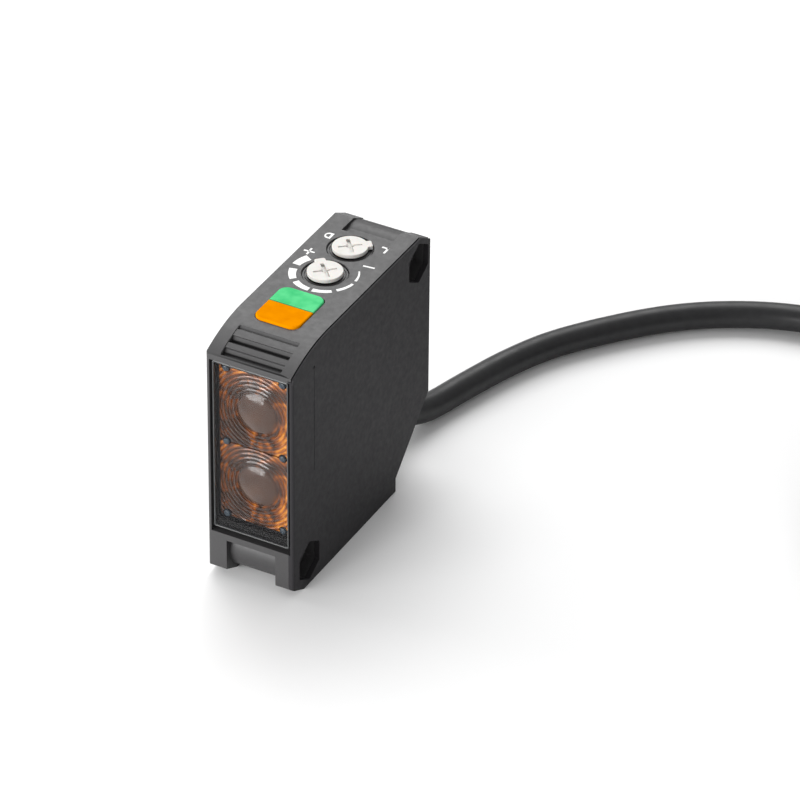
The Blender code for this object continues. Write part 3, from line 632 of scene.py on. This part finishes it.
def plan_of_turns():
    """The coil's winding, as (degrees of turn, column, layer): the cable goes from each line to the next.

    Each layer has an outer and an inner turn, 300 degrees of each, with 30 to cross and 30 to rise.
    """
    lines = [(0, OUTER, 0)]
    turn, column = -15, OUTER
    for layer in range(COIL_LAYERS):
        turn += LAYER_TURN
        lines.append((turn, column, layer))
        turn, column = turn + CROSS_TURN, -column
        lines.append((turn, column, layer))
        turn += LAYER_TURN
        lines.append((turn, column, layer))
        turn += CROSS_TURN
        last = layer == COIL_LAYERS - 1
        lines.append((turn, column, layer + (1 + TAIL_LIFT if last else 1)))
    lines.append((turn + CROSS_TURN, 0, COIL_LAYERS + TAIL_LIFT))
    lines.append((turn + TAIL_TURN, 0, COIL_LAYERS + TAIL_LIFT))
    return lines


WINDING = plan_of_turns()


def coil_spot(turn, step, layer):
    a = math.radians(ENTRY_ANGLE - turn)
    radius = COIL_R + COIL_PITCH * step
    return COIL_CENTRE + Vector((radius * math.cos(a), radius * math.sin(a), COIL_LOW_Z + COIL_PITCH * layer))


def winding():
    points = []
    for (start, step, layer), (stop, next_step, next_layer) in zip(WINDING, WINDING[1:]):
        count = max(2, round((stop - start) / 5))
        for i in range(count):
            part = i / count
            now = ease(part)
            column = step + (next_step - step) * now
            height = layer + (next_layer - layer) * now
            points.append(coil_spot(start + (stop - start) * part, column, height))
    return points + [coil_spot(*WINDING[-1])]


def cable():
    heading = Vector((math.sin(math.radians(ENTRY_ANGLE)), -math.cos(math.radians(ENTRY_ANGLE)), 0))
    joint = coil_spot(0, OUTER, 0)
    stub = joint - heading * STUB
    start = EXIT + OUT * (BOOT_END - 0.6)
    free = smooth_through([start, EXIT + OUT * (BOOT_END + 0.4), *FREE_ROUTE, stub - heading * 9, stub], 2.0)
    straight = [stub.lerp(joint, k / 8) for k in range(1, 8)]
    points = free + straight + winding()
    for point in points:
        point.z = max(point.z, CABLE_R + FLOOR_GAP)
    stands_for = ("cable", "cable_coil", "cable_tail")
    return tube("sensor_cable", points, CABLE_R, SHEATH_LOOK, stands_for, 7)


LEAD_COLOURS = {
    "brown": (0.13, 0.045, 0.02),
    "blue": (0.02, 0.09, 0.42),
    "black": (0.015, 0.015, 0.015),
    "white": (0.78, 0.78, 0.76),
}
LEAD_R = 0.62
LEAD_APART = 1.45
LEAD_TURN = 42.0  # degrees that the leads run on round the coil
TIP_LENGTH = 5.0


def strands(name, start, onward, length, radius):
    """A bare lead's twisted strands: six round one, drawn to a blunt point."""
    solid = bmesh.new()
    side = onward.orthogonal().normalized()
    other = onward.cross(side)
    rows = 14
    for k in range(7):
        rings = []
        for i in range(rows + 1):
            part = i / rows
            a = 2 * math.pi * (k / 6 + 0.55 * part)
            swing = 0.0 if k == 6 else radius * 0.62 * (1 - 0.25 * ease((part - 0.8) * 5))
            middle = start + onward * length * part + (side * math.cos(a) + other * math.sin(a)) * swing
            ring = []
            for j in range(8):
                b = 2 * math.pi * j / 8
                out = side * math.cos(b) + other * math.sin(b)
                ring.append(solid.verts.new(middle + out * radius * 0.36))
            rings.append(ring)
        for one, two in zip(rings, rings[1:]):
            for j in range(8):
                solid.faces.new((one[j], one[(j + 1) % 8], two[(j + 1) % 8], two[j]))
        solid.faces.new(rings[0])
        solid.faces.new(rings[-1])
    bmesh.ops.recalc_face_normals(solid, faces=solid.faces)
    return show("strands_" + name, solid, TIN, ("tip_" + name,))


def leads():
    """The four leads beyond the sheath's end, fanned out on top of the coil, with their bare tips."""
    made = []
    low = COIL_LOW_Z + COIL_PITCH * (COIL_LAYERS - 1) + CABLE_R + 0.2 + LEAD_R
    high = coil_spot(*WINDING[-1]).z
    for i, (colour, tint) in enumerate(LEAD_COLOURS.items()):
        offset = (i - 1.5) * LEAD_APART
        path = []
        for k in range(9):
            part = k / 8
            spread = offset * (1.0 + 0.6 * part)
            a = math.radians(ENTRY_ANGLE - WINDING[-1][0] - LEAD_TURN * part) - 0.6 / COIL_R
            z = high + (low - high) * min(1.0, 2.2 * ease(part))
            reach = COIL_R + spread
            path.append(COIL_CENTRE + Vector((reach * math.cos(a), reach * math.sin(a), z)))
        look = insulation(colour, tint)
        lead = "lead_" + colour
        made.append(tube("wire_" + colour, smooth_through(path, 1.0), LEAD_R, look, (lead,), 5))
        onward = (path[-1] - path[-2]).normalized()
        made.append(strands(colour, path[-1] - onward * 0.1, onward, TIP_LENGTH, LEAD_R * 0.7))
    return made


def bush():
    """The moulded strain relief: a collar, then a short ribbed taper."""
    bore = CABLE_R + 0.03
    profile = [(bore, -3.2), (4.4, -3.2), (4.4, -1.85), (3.25, -1.85), (3.25, 0.05), (3.8, 0.05), (3.95, 0.2)]
    profile += [(3.95, 1.1), (3.88, 1.26), (3.7, 1.3), (3.5, 1.42)]
    for k in range(3):
        along = 1.55 + 0.7 * k
        wide = 3.45 - 0.11 * k
        profile += [(wide, along), (wide, along + 0.34)]
        profile += [(wide - 0.13, along + 0.42), (wide - 0.13, along + 0.62)]
    profile += [(3.12, 3.7), (3.02, BOOT_END), (bore, BOOT_END)]
    relief = turned(profile, EXIT, OUT, 72, ring=True)
    return show("strain_relief", relief, rubber("bush_rubber"), ("cable_bush",))


def ties():
    """Flat ties round the coil, each with its locking head."""
    made = []
    look = moulded("tie_nylon", (0.022, 0.022, 0.022), 0.42)
    for name in ("coil_tie_1", "coil_tie_2"):
        low, high = span(name)
        centre = (low + high) / 2 - COIL_CENTRE
        centre.z = 0
        angle = math.atan2(centre.y, centre.x)
        reach_in = COIL_R - COIL_PITCH / 2 - CABLE_R - 0.3
        reach_out = COIL_R + COIL_PITCH / 2 + CABLE_R + 0.3
        thick = 0.8
        loop = rounded((reach_in - thick, 0.02), (reach_out + thick, high.z), 2.6, 9)
        hole = rounded((reach_in, thick), (reach_out, high.z - thick), 2.0, 9)
        band = combine(prism(loop, "Y", -1.8, 1.8), [prism(hole, "Y", -3.0, 3.0)])
        soften(band, 0.16, segments=2, angle=50)
        face = reach_in - thick
        head_z = high.z - 4.0
        head = block((face - 1.0, face + 0.4), (-2.0, 2.0), (head_z - 2.4, head_z + 1.6))
        soften(head, 0.3)
        slot = block((face - 2.0, face - 0.3), (-1.2, 1.2), (head_z - 0.9, head_z + 0.1))
        band = combine(band, [slot], [head])
        band.transform(Matrix.Translation(COIL_CENTRE) @ Matrix.Rotation(angle, 4, "Z"))
        made.append(show("band_" + name[-1], band, look, (name,)))
    return made


# ---------------------------------------------------------------- outlines of the case


def top_z(y, drop=0.0):
    """Height of the top at y, ahead of the rear chamfer."""
    radius = TOP_ARC_R - drop
    ahead = max(0.0, TOP_ARC_Y - y)
    return HEIGHT - TOP_ARC_R + math.sqrt(radius**2 - ahead**2)


def top_path(drop=0.0, steps=24):
    """The top's edge in (y, z), from the rear chamfer to the front, lowered by drop."""
    path = [(HALF_D, HEIGHT - REAR_Z - drop), (HALF_D - CORNER_Y, HEIGHT - drop)]
    for i in range(steps + 1):
        y = TOP_ARC_Y - (HALF_D + TOP_ARC_Y) * i / steps
        path.append((y, top_z(y, drop)))
    return path


def side_outline(drop=0.0):
    """The housing seen from the side, in (y, z)."""
    foot = [(-HALF_D, FOOT_Z), (-HALF_D + CORNER_Y, 0.0), (SLANT_FOOT[0], 0.0), SLANT_FOOT, SLANT_TOP]
    return foot + top_path(drop)


def inset(outline, distance):
    """The outline moved inwards by the distance, with mitred corners."""
    moved = []
    for i, here in enumerate(outline):
        one = (Vector(here) - Vector(outline[i - 1])).normalized()
        two = (Vector(outline[(i + 1) % len(outline)]) - Vector(here)).normalized()
        inward = Vector((-one.y, one.x)) + Vector((-two.y, two.x))
        inward = inward / (inward.length_squared / 2)
        moved.append(tuple(Vector(here) + inward * distance))
    return moved


def plan_trim():
    """What lies outside the housing's plan, whose upright edges are rounded at the front."""
    reach = HALF_D + 5
    plan = [p for p in rounded((-HALF_W, -HALF_D), (HALF_W, reach), EDGE_R, 9) if p[1] < 0]
    plan += [(HALF_W, reach), (-HALF_W, reach)]
    outer = block((-reach, reach), (-reach, reach - 1), (-1, HEIGHT + 2))
    return combine(outer, cut=[prism(plan, "Z", -2, HEIGHT + 3)])


def nut_pocket(y, z, low, high):
    """A six-sided pocket across x, with its corners up and down and each a little round."""
    across = NUT_FLATS / math.sqrt(3)
    solid = prism(circle((y, z), across, 6, 90.0), "X", low, high)
    return soften(solid, 0.35, lambda e: abs((e.verts[0].co - e.verts[1].co).x) > 0.5, 3)


def louvre_plate(low, high, drop):
    """What is cut to sink a stretch of the top by drop, across the louvres' width."""
    count = 12
    edge = [low + (high - low) * i / count for i in range(count + 1)]
    outline = [(y, top_z(y, drop)) for y in edge] + [(high, HEIGHT + 1), (low, HEIGHT + 1)]
    return prism(outline, "X", -GROOVE_HALF, GROOVE_HALF)


# ---------------------------------------------------------------- case

SEAM_X = COVER_LOW.x  # the plane in which the cover meets the housing
WITNESS_Y, WITNESS_Z = -17.49, (23.5, 45.0)  # the fine line on the cover
CASE_LOOK = case_plastic("case_plastic", (0.040, 0.039, 0.040), 0.46, 0.45, 0.12)
# Painted shade: the cover is the same charcoal plastic as the housing, made darker here because the side face
# is turned away from the lights.
SHADED_COVER_LOOK = case_plastic("cover_plastic_painted_shade", (0.027, 0.026, 0.028), 0.55, 0.12, 0.05)


def edge_at(edge, axis, value):
    return all(abs(v.co[axis] - value) < 0.03 for v in edge.verts)


def case_shell():
    """The housing, with its rounded outer edges, recesses, seats and louvres."""
    shell = prism(side_outline(), "X", BODY_LOW.x, SEAM_X - 0.04)
    shell = combine(shell, [plan_trim()])
    soften(shell, 0.22, lambda e: not edge_at(e, 0, SEAM_X - 0.04), 3, 24)
    far = HALF_W + 2
    cuts = []
    cuts.append(block((-WINDOW_HALF, far), (-HALF_D - 1, WINDOW_FLOOR_Y), (WINDOW_LOW, WINDOW_HIGH)))
    opening = (-OPENING_HALF, OPENING_HALF), (-HALF_D, FRONT_WALL_Y + 1), (OPENING_LOW, OPENING_HIGH)
    cuts.append(block(*opening))
    for y, z in MOUNT_HOLES:
        cuts.append(rod((-far, y, z), (1, 0, 0), HOLE_R, 2 * far, 64))
        cuts.append(nut_pocket(y, z, -far, -HALF_W + NUT_DEPTH))
        cuts.append(nut_pocket(y, z, HALF_W - NUT_DEPTH, far))
    cuts += channels()
    for axis in (SENSITIVITY, SELECTOR):
        seat = [(SEAT_R, -SEAT_DEPTH), (SEAT_R, -0.12), (SEAT_R + 0.12, 0.01), (SEAT_R + 0.12, 1.0)]
        cuts.append(turned(seat, (axis.x, axis.y, HEIGHT), (0, 0, 1), 80))
        for low, high in SEAT_GROOVES:
            floor_z, above = -SEAT_DEPTH - 0.3, 0.1 - SEAT_DEPTH
            ring = [(low, floor_z), (high, floor_z), (high, above), (low, above)]
            cuts.append(turned(ring, (axis.x, axis.y, HEIGHT), (0, 0, 1), 80, ring=True))
        cuts.append(rod((axis.x, axis.y, HEIGHT - 4), (0, 0, 1), STEM_HOLE_R, 5))
    cuts.append(prism(cap_outline(0.12), "Z", HEIGHT - 4, HEIGHT + 1))
    cuts.append(louvre_plate(LOUVRE_LOW, LOUVRE_HIGH, LOUVRE_DROP))
    for low, high, depth in GROOVES:  # each a slot between sloping lips
        level = top_z((low + high) / 2) - depth
        wider = 0.12 if high - low > 0.5 else 0.04
        half = GROOVE_HALF - 0.1
        slot = block((-half, half), (low - wider, high + wider), (level, HEIGHT))
        flare = top_z(low) - 0.42
        slope = ((low - wider - 0.45, flare + 0.45), (low - wider, flare), (high + wider, flare))
        slope += ((high + wider + 0.35, flare + 0.5), (high, HEIGHT + 1), (low, HEIGHT + 1))
        cuts += [slot, prism(slope, "X", -half, half)]
    cuts.append(rod(EXIT - OUT * 4, OUT, 3.4, 6))
    cuts.append(combine(prism(inset(side_outline(), WALL), "X", -HALF_W + WALL, HALF_W + 1), cavity_keeps()))
    lip = prism(top_path() + top_path(LIP)[::-1], "X", SEAM_X - 0.5, LIP_X)
    soften(lip, 0.07, lambda e: edge_at(e, 0, LIP_X), 2)
    shell = combine(shell, cuts, [lip])
    show("case_shell", shell, CASE_LOOK, ("case_body",))


def cavity_keeps():
    """What stays inside the cavity: the front wall, the sleeves and the knobs' bosses."""
    reach = (-HALF_W - 1, HALF_W + 2)
    keeps = [block(reach, (-HALF_D - 1, FRONT_WALL_Y), (-1, HEIGHT + 1))]
    keeps += [prism(circle(spot, SLEEVE_R), "X", *reach) for spot in MOUNT_HOLES]
    keeps += [rod((axis.x, axis.y, HEIGHT - 2.6), (0, 0, 1), 3.4, 2.6) for axis in (SENSITIVITY, SELECTOR)]
    return keeps


def channels():
    """The recesses that bare the sleeves, at the foot and on the top."""
    half = (-CHANNEL_HALF, CHANNEL_HALF)
    foot = block(half, (-HALF_D - 1, MOUNT_HOLES[0][0] - 0.5), (-1, CHANNEL_LENGTH))
    front = HALF_D - CHANNEL_LENGTH
    top = block(half, (front, HALF_D + 1), (MOUNT_HOLES[1][1] + 0.5, HEIGHT + 1))
    across = (-HALF_W, HALF_W)
    sleeves = [prism(circle(spot, SLEEVE_SEEN_R, 72), "X", *across) for spot in MOUNT_HOLES]
    shelf = block(across, (front - 1, SHELF_END), (MOUNT_HOLES[1][1], SHELF_Z))
    bar = block((-CHANNEL_HALF + 0.8, HALF_W), BAR[:2], (MOUNT_HOLES[1][1], BAR[2]))
    return [combine(foot, cut=[sleeves[0]]), combine(top, cut=[sleeves[1], shelf, bar])]


def on_rim(spot):
    """Whether a spot of the cover's rim is on the flat top or further forward."""
    return spot.z > HEIGHT - 1.0 or spot.y < TOP_ARC_Y


def cover_plate():
    """The side cover, with a witness line near its front edge."""
    plate = prism(side_outline(LIP + 0.15), "X", COVER_LOW.x, COVER_HIGH.x)
    plate = combine(plate, [plan_trim()])
    soften(plate, 0.22, lambda e: edge_at(e, 0, HALF_W) and min(v.co.z for v in e.verts) < 48.0, 3, 24)
    rim = prism(top_path(0.1) + top_path(LIP + 0.6)[::-1], "X", LIP_X + 0.2, HALF_W)
    soften(rim, 0.12, lambda e: edge_at(e, 0, HALF_W) and all(on_rim(v.co) for v in e.verts), 2)
    cuts = []
    pocket = (WINDOW_LOW - 0.02, WINDOW_HIGH + 0.02)
    cuts.append(block((COVER_LOW.x - 1, WINDOW_HALF), (-HALF_D - 1, WINDOW_FLOOR_Y), pocket))
    cuts += [nut_pocket(y, z, HALF_W - NUT_DEPTH, HALF_W + 1) for y, z in MOUNT_HOLES]
    cuts.append(block((HALF_W - 0.06, HALF_W + 1), (WITNESS_Y - 0.06, WITNESS_Y + 0.06), WITNESS_Z))
    cuts.append(rod((HALF_W - 0.12, WITNESS_Y, WITNESS_Z[1] + 0.3), (1, 0, 0), 0.3, 1, 20))
    plate = combine(plate, cuts, [rim])
    show("cover_plate", plate, SHADED_COVER_LOOK, ("side_cover",))


# ---------------------------------------------------------------- window and lenses

# Width of the opaque ring that paints the look of the clear pane's bevelled edge.
PANE_EDGE = 0.34
DOME_X, DOME_R, DOME_RISE = 0.5, 4.0, 0.85
RING_PITCH, RING_RISE = 0.82, 0.26
TILE_REACH = 11.5  # past the tile's corners
# The amber's colours, from its own dark brown up to the gold of painted glints where light comes through.
AMBER_GLINT_STOPS = (
    (0.28, (0.030, 0.012, 0.006)),
    (0.43, (0.070, 0.022, 0.006)),
    (0.55, (0.190, 0.048, 0.006)),
    (0.68, (0.440, 0.130, 0.010)),
    (0.85, (0.850, 0.360, 0.045)),
)


def pane():
    """The clear pane, and an opaque dark ring round it that paints how its bevelled edge looks where it bends
    the light.
    """
    outline = rounded((PANE_LOW.x, PANE_LOW.z), (PANE_HIGH.x, PANE_HIGH.z), 0.4)
    solid = prism(outline, "Y", PANE_LOW.y, PANE_HIGH.y)
    soften(solid, 0.22, lambda e: edge_at(e, 1, PANE_LOW.y), 2)
    show("clear_pane", solid, clear_pane(), ("window_pane",))
    # Painted light: an opaque dark grey ring stands in for the clear pane's bevelled edge, which looks dark
    # where it bends the light.
    wide = Vector((PANE_EDGE, 0, PANE_EDGE))
    low, high = PANE_LOW + wide, PANE_HIGH - wide
    inner = rounded((low.x, low.z), (high.x, high.z), 0.25)
    edge = prism(outline, "Y", PANE_LOW.y, PANE_HIGH.y - 0.05)
    edge = combine(edge, [prism(inner, "Y", PANE_LOW.y - 1, PANE_HIGH.y + 1)])
    soften(edge, 0.16, lambda e: edge_at(e, 1, PANE_LOW.y), 2)
    show("painted_pane_rim", edge, moulded("painted_pane_rim", (0.045, 0.047, 0.048), 0.22, 0.4, 0.004))


def stake_spots():
    return [(x, LENS_MID + z) for x in (-STAKE_X, STAKE_X) for z in (-STAKE_Z, 0.0, STAKE_Z)]


def lens_tile(name, node, which):
    """A lens with a polished dome in the middle and concentric rings out to the tile's edges."""
    low, high = span(node)
    centre = Vector((DOME_X, high.y, LENS_MID + which * LENS_OFFSET))
    front = high.y - low.y - DOME_RISE  # from the tile's back to its flat front
    sphere = (DOME_R**2 + DOME_RISE**2) / (2 * DOME_RISE)
    profile = [(TILE_REACH, 0.0), (TILE_REACH, front)]
    first = DOME_R + 0.35
    count = 8
    for k in reversed(range(count)):
        near = first + RING_PITCH * k
        rise = RING_RISE * (1.0 - 0.11 * k)
        profile += [(near + RING_PITCH, front), (near + RING_PITCH * 0.82, front + rise * 0.35)]
        profile += [(near + RING_PITCH * 0.40, front + rise), (near + RING_PITCH * 0.12, front + rise * 0.8)]
    profile += [(first, front - 0.05), (DOME_R + 0.02, front + 0.05)]
    steps = 14
    for i in range(steps + 1):
        radius = DOME_R * (1 - i / steps)
        profile.append((radius, front + math.sqrt(sphere**2 - radius**2) - (sphere - DOME_RISE)))
    stack = turned(profile, centre, (0, -1, 0), 96)
    tile = rounded((low.x, low.z), (high.x, high.z), 0.5)
    keep = prism(tile, "Y", low.y - 2, high.y + 2)
    notches = [prism(circle(s, STAKE_R + 0.2, 32), "Y", low.y - 3, high.y + 3) for s in stake_spots()]
    solid = combine(stack, cut=notches, keep_in=[keep])
    home = (centre.x, high.y - front, centre.z)
    show(name, solid, amber("amber_" + name), (node,), home=home, crease=40)


def stake_heads():
    """The heat-formed heads of the six stakes that hold the lens tiles."""
    face = span("emitter_lens")[0].y + DOME_RISE
    solid = bmesh.new()
    profile = [(0.5, -0.4), (0.5, 0.0), (0.64, 0.02), (0.66, 0.14), (0.56, 0.30), (0.35, 0.40), (0.0, 0.43)]
    for x, z in stake_spots():
        head = turned(profile, (x, face - 0.05, z), (0, -1, 0), 32)
        mesh = bpy.data.meshes.new("scratch")
        head.to_mesh(mesh)
        head.free()
        solid.from_mesh(mesh)
        bpy.data.meshes.remove(mesh)
    look = moulded("stake_plastic", (0.035, 0.050, 0.066), 0.34, 0.2, 0.01, 0.3)
    show("stake_heads", solid, look)


# ---------------------------------------------------------------- indicators, knobs and legend


def cap_outline(grow=0.0):
    """Both caps' common outline in (x, y), with round corners."""
    green, orange = span("indicator_green"), span("indicator_orange")
    low = (green[0].x + FLANGE - grow, orange[0].y + FLANGE - grow)
    high = (green[1].x - FLANGE + grow, green[1].y - FLANGE + grow)
    return rounded(low, high, 1.75, 7)


def caps():
    """The two indicator caps: flat-topped, with soft edges."""
    green, orange = span("indicator_green"), span("indicator_orange")
    top = green[1].z
    split = (green[0].y + orange[1].y) / 2
    rows = (
        ("green_cap", "indicator_green", (split + 0.04, 5), (0.115, 0.64, 0.26), (0.055, 0.50, 0.18)),
        ("orange_cap", "indicator_orange", (-30, split - 0.04), (0.78, 0.26, 0.0), (0.70, 0.215, 0.0)),
    )
    for name, node, (low, high), colour, deep in rows:
        cap = prism(cap_outline(), "Z", HEIGHT - 3.0, top)
        cap = combine(cap, [block((-20, 20), (-40, low), (40, 60)), block((-20, 20), (high, 40), (40, 60))])
        soften(cap, 0.26, lambda e: edge_at(e, 2, top), 4)
        show(name, cap, cap_plastic(name + "_plastic", colour, deep), (node,))


def knob(name, node, body, axis, angle, slots_wide):
    """An ivory knob with a cross slot, a pointer and soft edges, over its stem and blade.

    The slot along the pointer and the slot across it have the half widths given.
    """
    top = span(node)[1].z
    radius, reach, width = 3.25, 4.0, 2.0
    disc = turned([(radius, 0.0), (radius, top - HEIGHT)], (axis.x, axis.y, HEIGHT), (0, 0, 1), 96)
    turn = Matrix.Translation((axis.x, axis.y, 0)) @ Matrix.Rotation(math.radians(angle), 4, "Z")
    tab = prism(rounded((1.0, -width / 2), (reach, width / 2), 0.35, 5), "Z", HEIGHT, top)
    tab.transform(turn)
    head = combine(disc, join=[tab])
    soften(head, 0.24, lambda e: edge_at(e, 2, top), 4)
    slots = []
    for half_x, half_y in ((2.2, slots_wide[0]), (slots_wide[1], 2.2)):
        slot = prism(rounded((-half_x, -half_y), (half_x, half_y), 0.12, 4), "Z", top - 0.5, top + 1)
        slot.transform(turn)
        slots.append(slot)
    cone = turned([(0.0, -0.5), (1.15, 0.15), (1.15, 0.6)], (axis.x, axis.y, top - 0.12), (0, 0, 1), 4)
    cone.transform(turn @ Matrix.Translation((-axis.x, -axis.y, 0)))
    slots.append(cone)
    stem = rod((axis.x, axis.y, HEIGHT - 3.0), (0, 0, 1), 1.4, 3.15)
    blade = block((-0.3, 0.3), (-1.2, 1.2), (HEIGHT - 4.0, HEIGHT - 2.5))
    blade.transform(turn)
    solid = combine(head, slots, [stem, blade])
    soften(solid, 0.05, lambda e: all(v.co.z > top - 0.2 for v in e.verts), 2, 40)
    show(name, solid, IVORY_LOOK, (node,), body, home=axis)


def arc_mark(solid, centre, start, stop, outer, thick):
    """Adds one printed arc, whose thickness is given at its start and its stop."""
    count = 16
    rows = []
    for i in range(count + 1):
        part = i / count
        a = math.radians(start + (stop - start) * part)
        inner = outer - (thick[0] + (thick[1] - thick[0]) * part)
        rows.append([(centre.x + r * math.cos(a), centre.y + r * math.sin(a)) for r in (inner, outer)])
    add_mark(solid, [row[0] for row in rows] + [row[1] for row in reversed(rows)])


def add_mark(solid, outline):
    """Adds a printed patch with a flat outline to the legend."""
    low = [solid.verts.new((x, y, HEIGHT - 0.02)) for x, y in outline]
    high = [solid.verts.new((x, y, HEIGHT + INK)) for x, y in outline]
    solid.faces.new(low)
    solid.faces.new(high)
    for i in range(len(outline)):
        j = (i + 1) % len(outline)
        solid.faces.new((low[i], low[j], high[j], high[i]))


def bar(solid, start, stop, width):
    """Adds a straight printed stroke."""
    start, stop = Vector(start), Vector(stop)
    along = (stop - start).normalized()
    side = Vector((-along.y, along.x)) * width / 2
    add_mark(solid, [tuple(p) for p in (start - side, stop - side, stop + side, start + side)])


INK = 0.03
ARCS = ((34, 3), (-7, -41), (-50, -84), (-90, -124), (-134, -166), (-180, -211))


def legend():
    """The dial's growing arcs, plus and minus, and the selector's two letters, read from behind."""
    solid = bmesh.new()
    for k, (start, stop) in enumerate(ARCS):
        thick = 0.26 + 0.25 * k
        arc_mark(solid, SENSITIVITY, start, stop, 6.15 + 0.09 * k, (thick, thick + 0.2))
    plus = Vector((-6.5, 7.9))
    for angle in (4, 94):
        reach = Vector((math.cos(math.radians(angle)), math.sin(math.radians(angle)))) * 1.05
        bar(solid, plus - reach, plus + reach, 0.36)
    bar(solid, (4.1, 8.4), (6.3, 8.65), 0.36)
    letter_d = Vector((-6.05, 14.1))
    outer = [(0.75, -0.9)] + half_round(0.15, 0.9, 0.9) + [(0.75, 0.9)]
    inner = [(0.33, 0.5)] + half_round(0.10, 0.5, 0.52)[::-1] + [(0.33, -0.5)]
    ring_mark(solid, letter_d, outer, inner)
    foot = Vector((4.8, 14.65))
    bar(solid, foot + Vector((0.55, -0.9)), foot + Vector((0.55, 0.9)), 0.38)
    bar(solid, foot + Vector((0.70, 0.72)), foot + Vector((-0.65, 0.72)), 0.38)
    bmesh.ops.recalc_face_normals(solid, faces=solid.faces)
    show("dial_marks", solid, ink())


def half_round(start_x, reach_y, radius):
    """The bowl of the letter: from below to above, bulging towards -X."""
    points = []
    for i in range(13):
        a = math.radians(-90 - 180 * i / 12)
        points.append((start_x + radius * math.cos(a) * 0.85 - 0.1, reach_y * math.sin(a)))
    return points


def ring_mark(solid, centre, outer, inner):
    """Adds a printed ring between two outlines with as many points each, the inner one reversed."""
    inner = inner[::-1]
    rows = []
    for outline in (outer, inner):
        low = [solid.verts.new((centre.x + x, centre.y + y, HEIGHT - 0.02)) for x, y in outline]
        high = [solid.verts.new((centre.x + x, centre.y + y, HEIGHT + INK)) for x, y in outline]
        rows.append((low, high))
    (low, high), (in_low, in_high) = rows
    count = len(outer)
    for i in range(count):
        j = (i + 1) % count
        for quad in (
            (low[i], low[j], high[j], high[i]), (in_low[i], in_low[j], in_high[j], in_high[i]),
            (high[i], high[j], in_high[j], in_high[i]), (low[i], low[j], in_low[j], in_low[i]),
        ):
            solid.faces.new(quad)


# ---------------------------------------------------------------- pieces kept from the CAD

INNER_LOOK = moulded("optics_black", (0.010, 0.010, 0.011), 0.55, specular=0.15)
TIN = tin()
IVORY_LOOK = ivory()


def kept_nodes():
    """The CAD's own solids that stay, each with a node material."""
    black = moulded("component_black", (0.02, 0.02, 0.021), 0.42)
    board = circuit_board()
    seal = rubber()
    finishes = {
        "window_gasket": rubber("gasket_rubber", (0.010, 0.010, 0.010), 0.1),
        "optics_block": INNER_LOOK, "optics_board": board,
        "main_board": board, "control_board": board, "receiver_shield": TIN, "board_screw_1": TIN,
        "board_screw_2": TIN, "cable_clamp": TIN, "control_ic": black, "output_driver": black,
        "input_diode": black, "inductor": black, "board_link": black, "photodiode": black,
        "filter_capacitor": moulded("capacitor_sleeve", (0.03, 0.04, 0.09), 0.3),
        "emitter_led": clear_lamp("emitter_red", (0.75, 0.12, 0.10)),
        "green_lamp": clear_lamp("lamp_clear_green", (0.80, 0.85, 0.75)),
        "orange_lamp": clear_lamp("lamp_clear_orange", (0.88, 0.84, 0.72)),
        "sensitivity_trimmer": moulded("trimmer_blue", (0.02, 0.05, 0.16), 0.4),
        "mode_switch": moulded("switch_blue", (0.02, 0.05, 0.15), 0.4),
        "sensitivity_rotor": moulded("rotor_cream", (0.66, 0.63, 0.54), 0.45),
        "selector_rotor": moulded("selector_rotor_cream", (0.66, 0.63, 0.54), 0.45),
        "sensitivity_seal": seal, "selector_seal": seal, "cable_end": SHEATH_LOOK,
    }
    for colour, tint in LEAD_COLOURS.items():
        finishes["inner_lead_" + colour] = insulation("inner_" + colour, tint)
    for node, look in finishes.items():
        mesh = frame["nodes"][node].data
        mesh.materials.clear()
        mesh.materials.append(look.material)


# ---------------------------------------------------------------- build

camera()
sensor_cable = cable()
strain_relief = bush()
cable_leads = leads()
cable_ties = ties()
case_shell()
cover_plate()
pane()
lens_tile("upper_lens", "emitter_lens", 1)
lens_tile("lower_lens", "receiver_lens", -1)
stake_heads()
caps()
knob("sensitivity_dial", "sensitivity_knob", "sensitivity_adjuster", SENSITIVITY, 134.0, (0.36, 0.2))
knob("selector_dial", "selector_knob", "mode_selector", SELECTOR, 40.0, (0.2, 0.36))
legend()
kept_nodes()
studio()
floor()
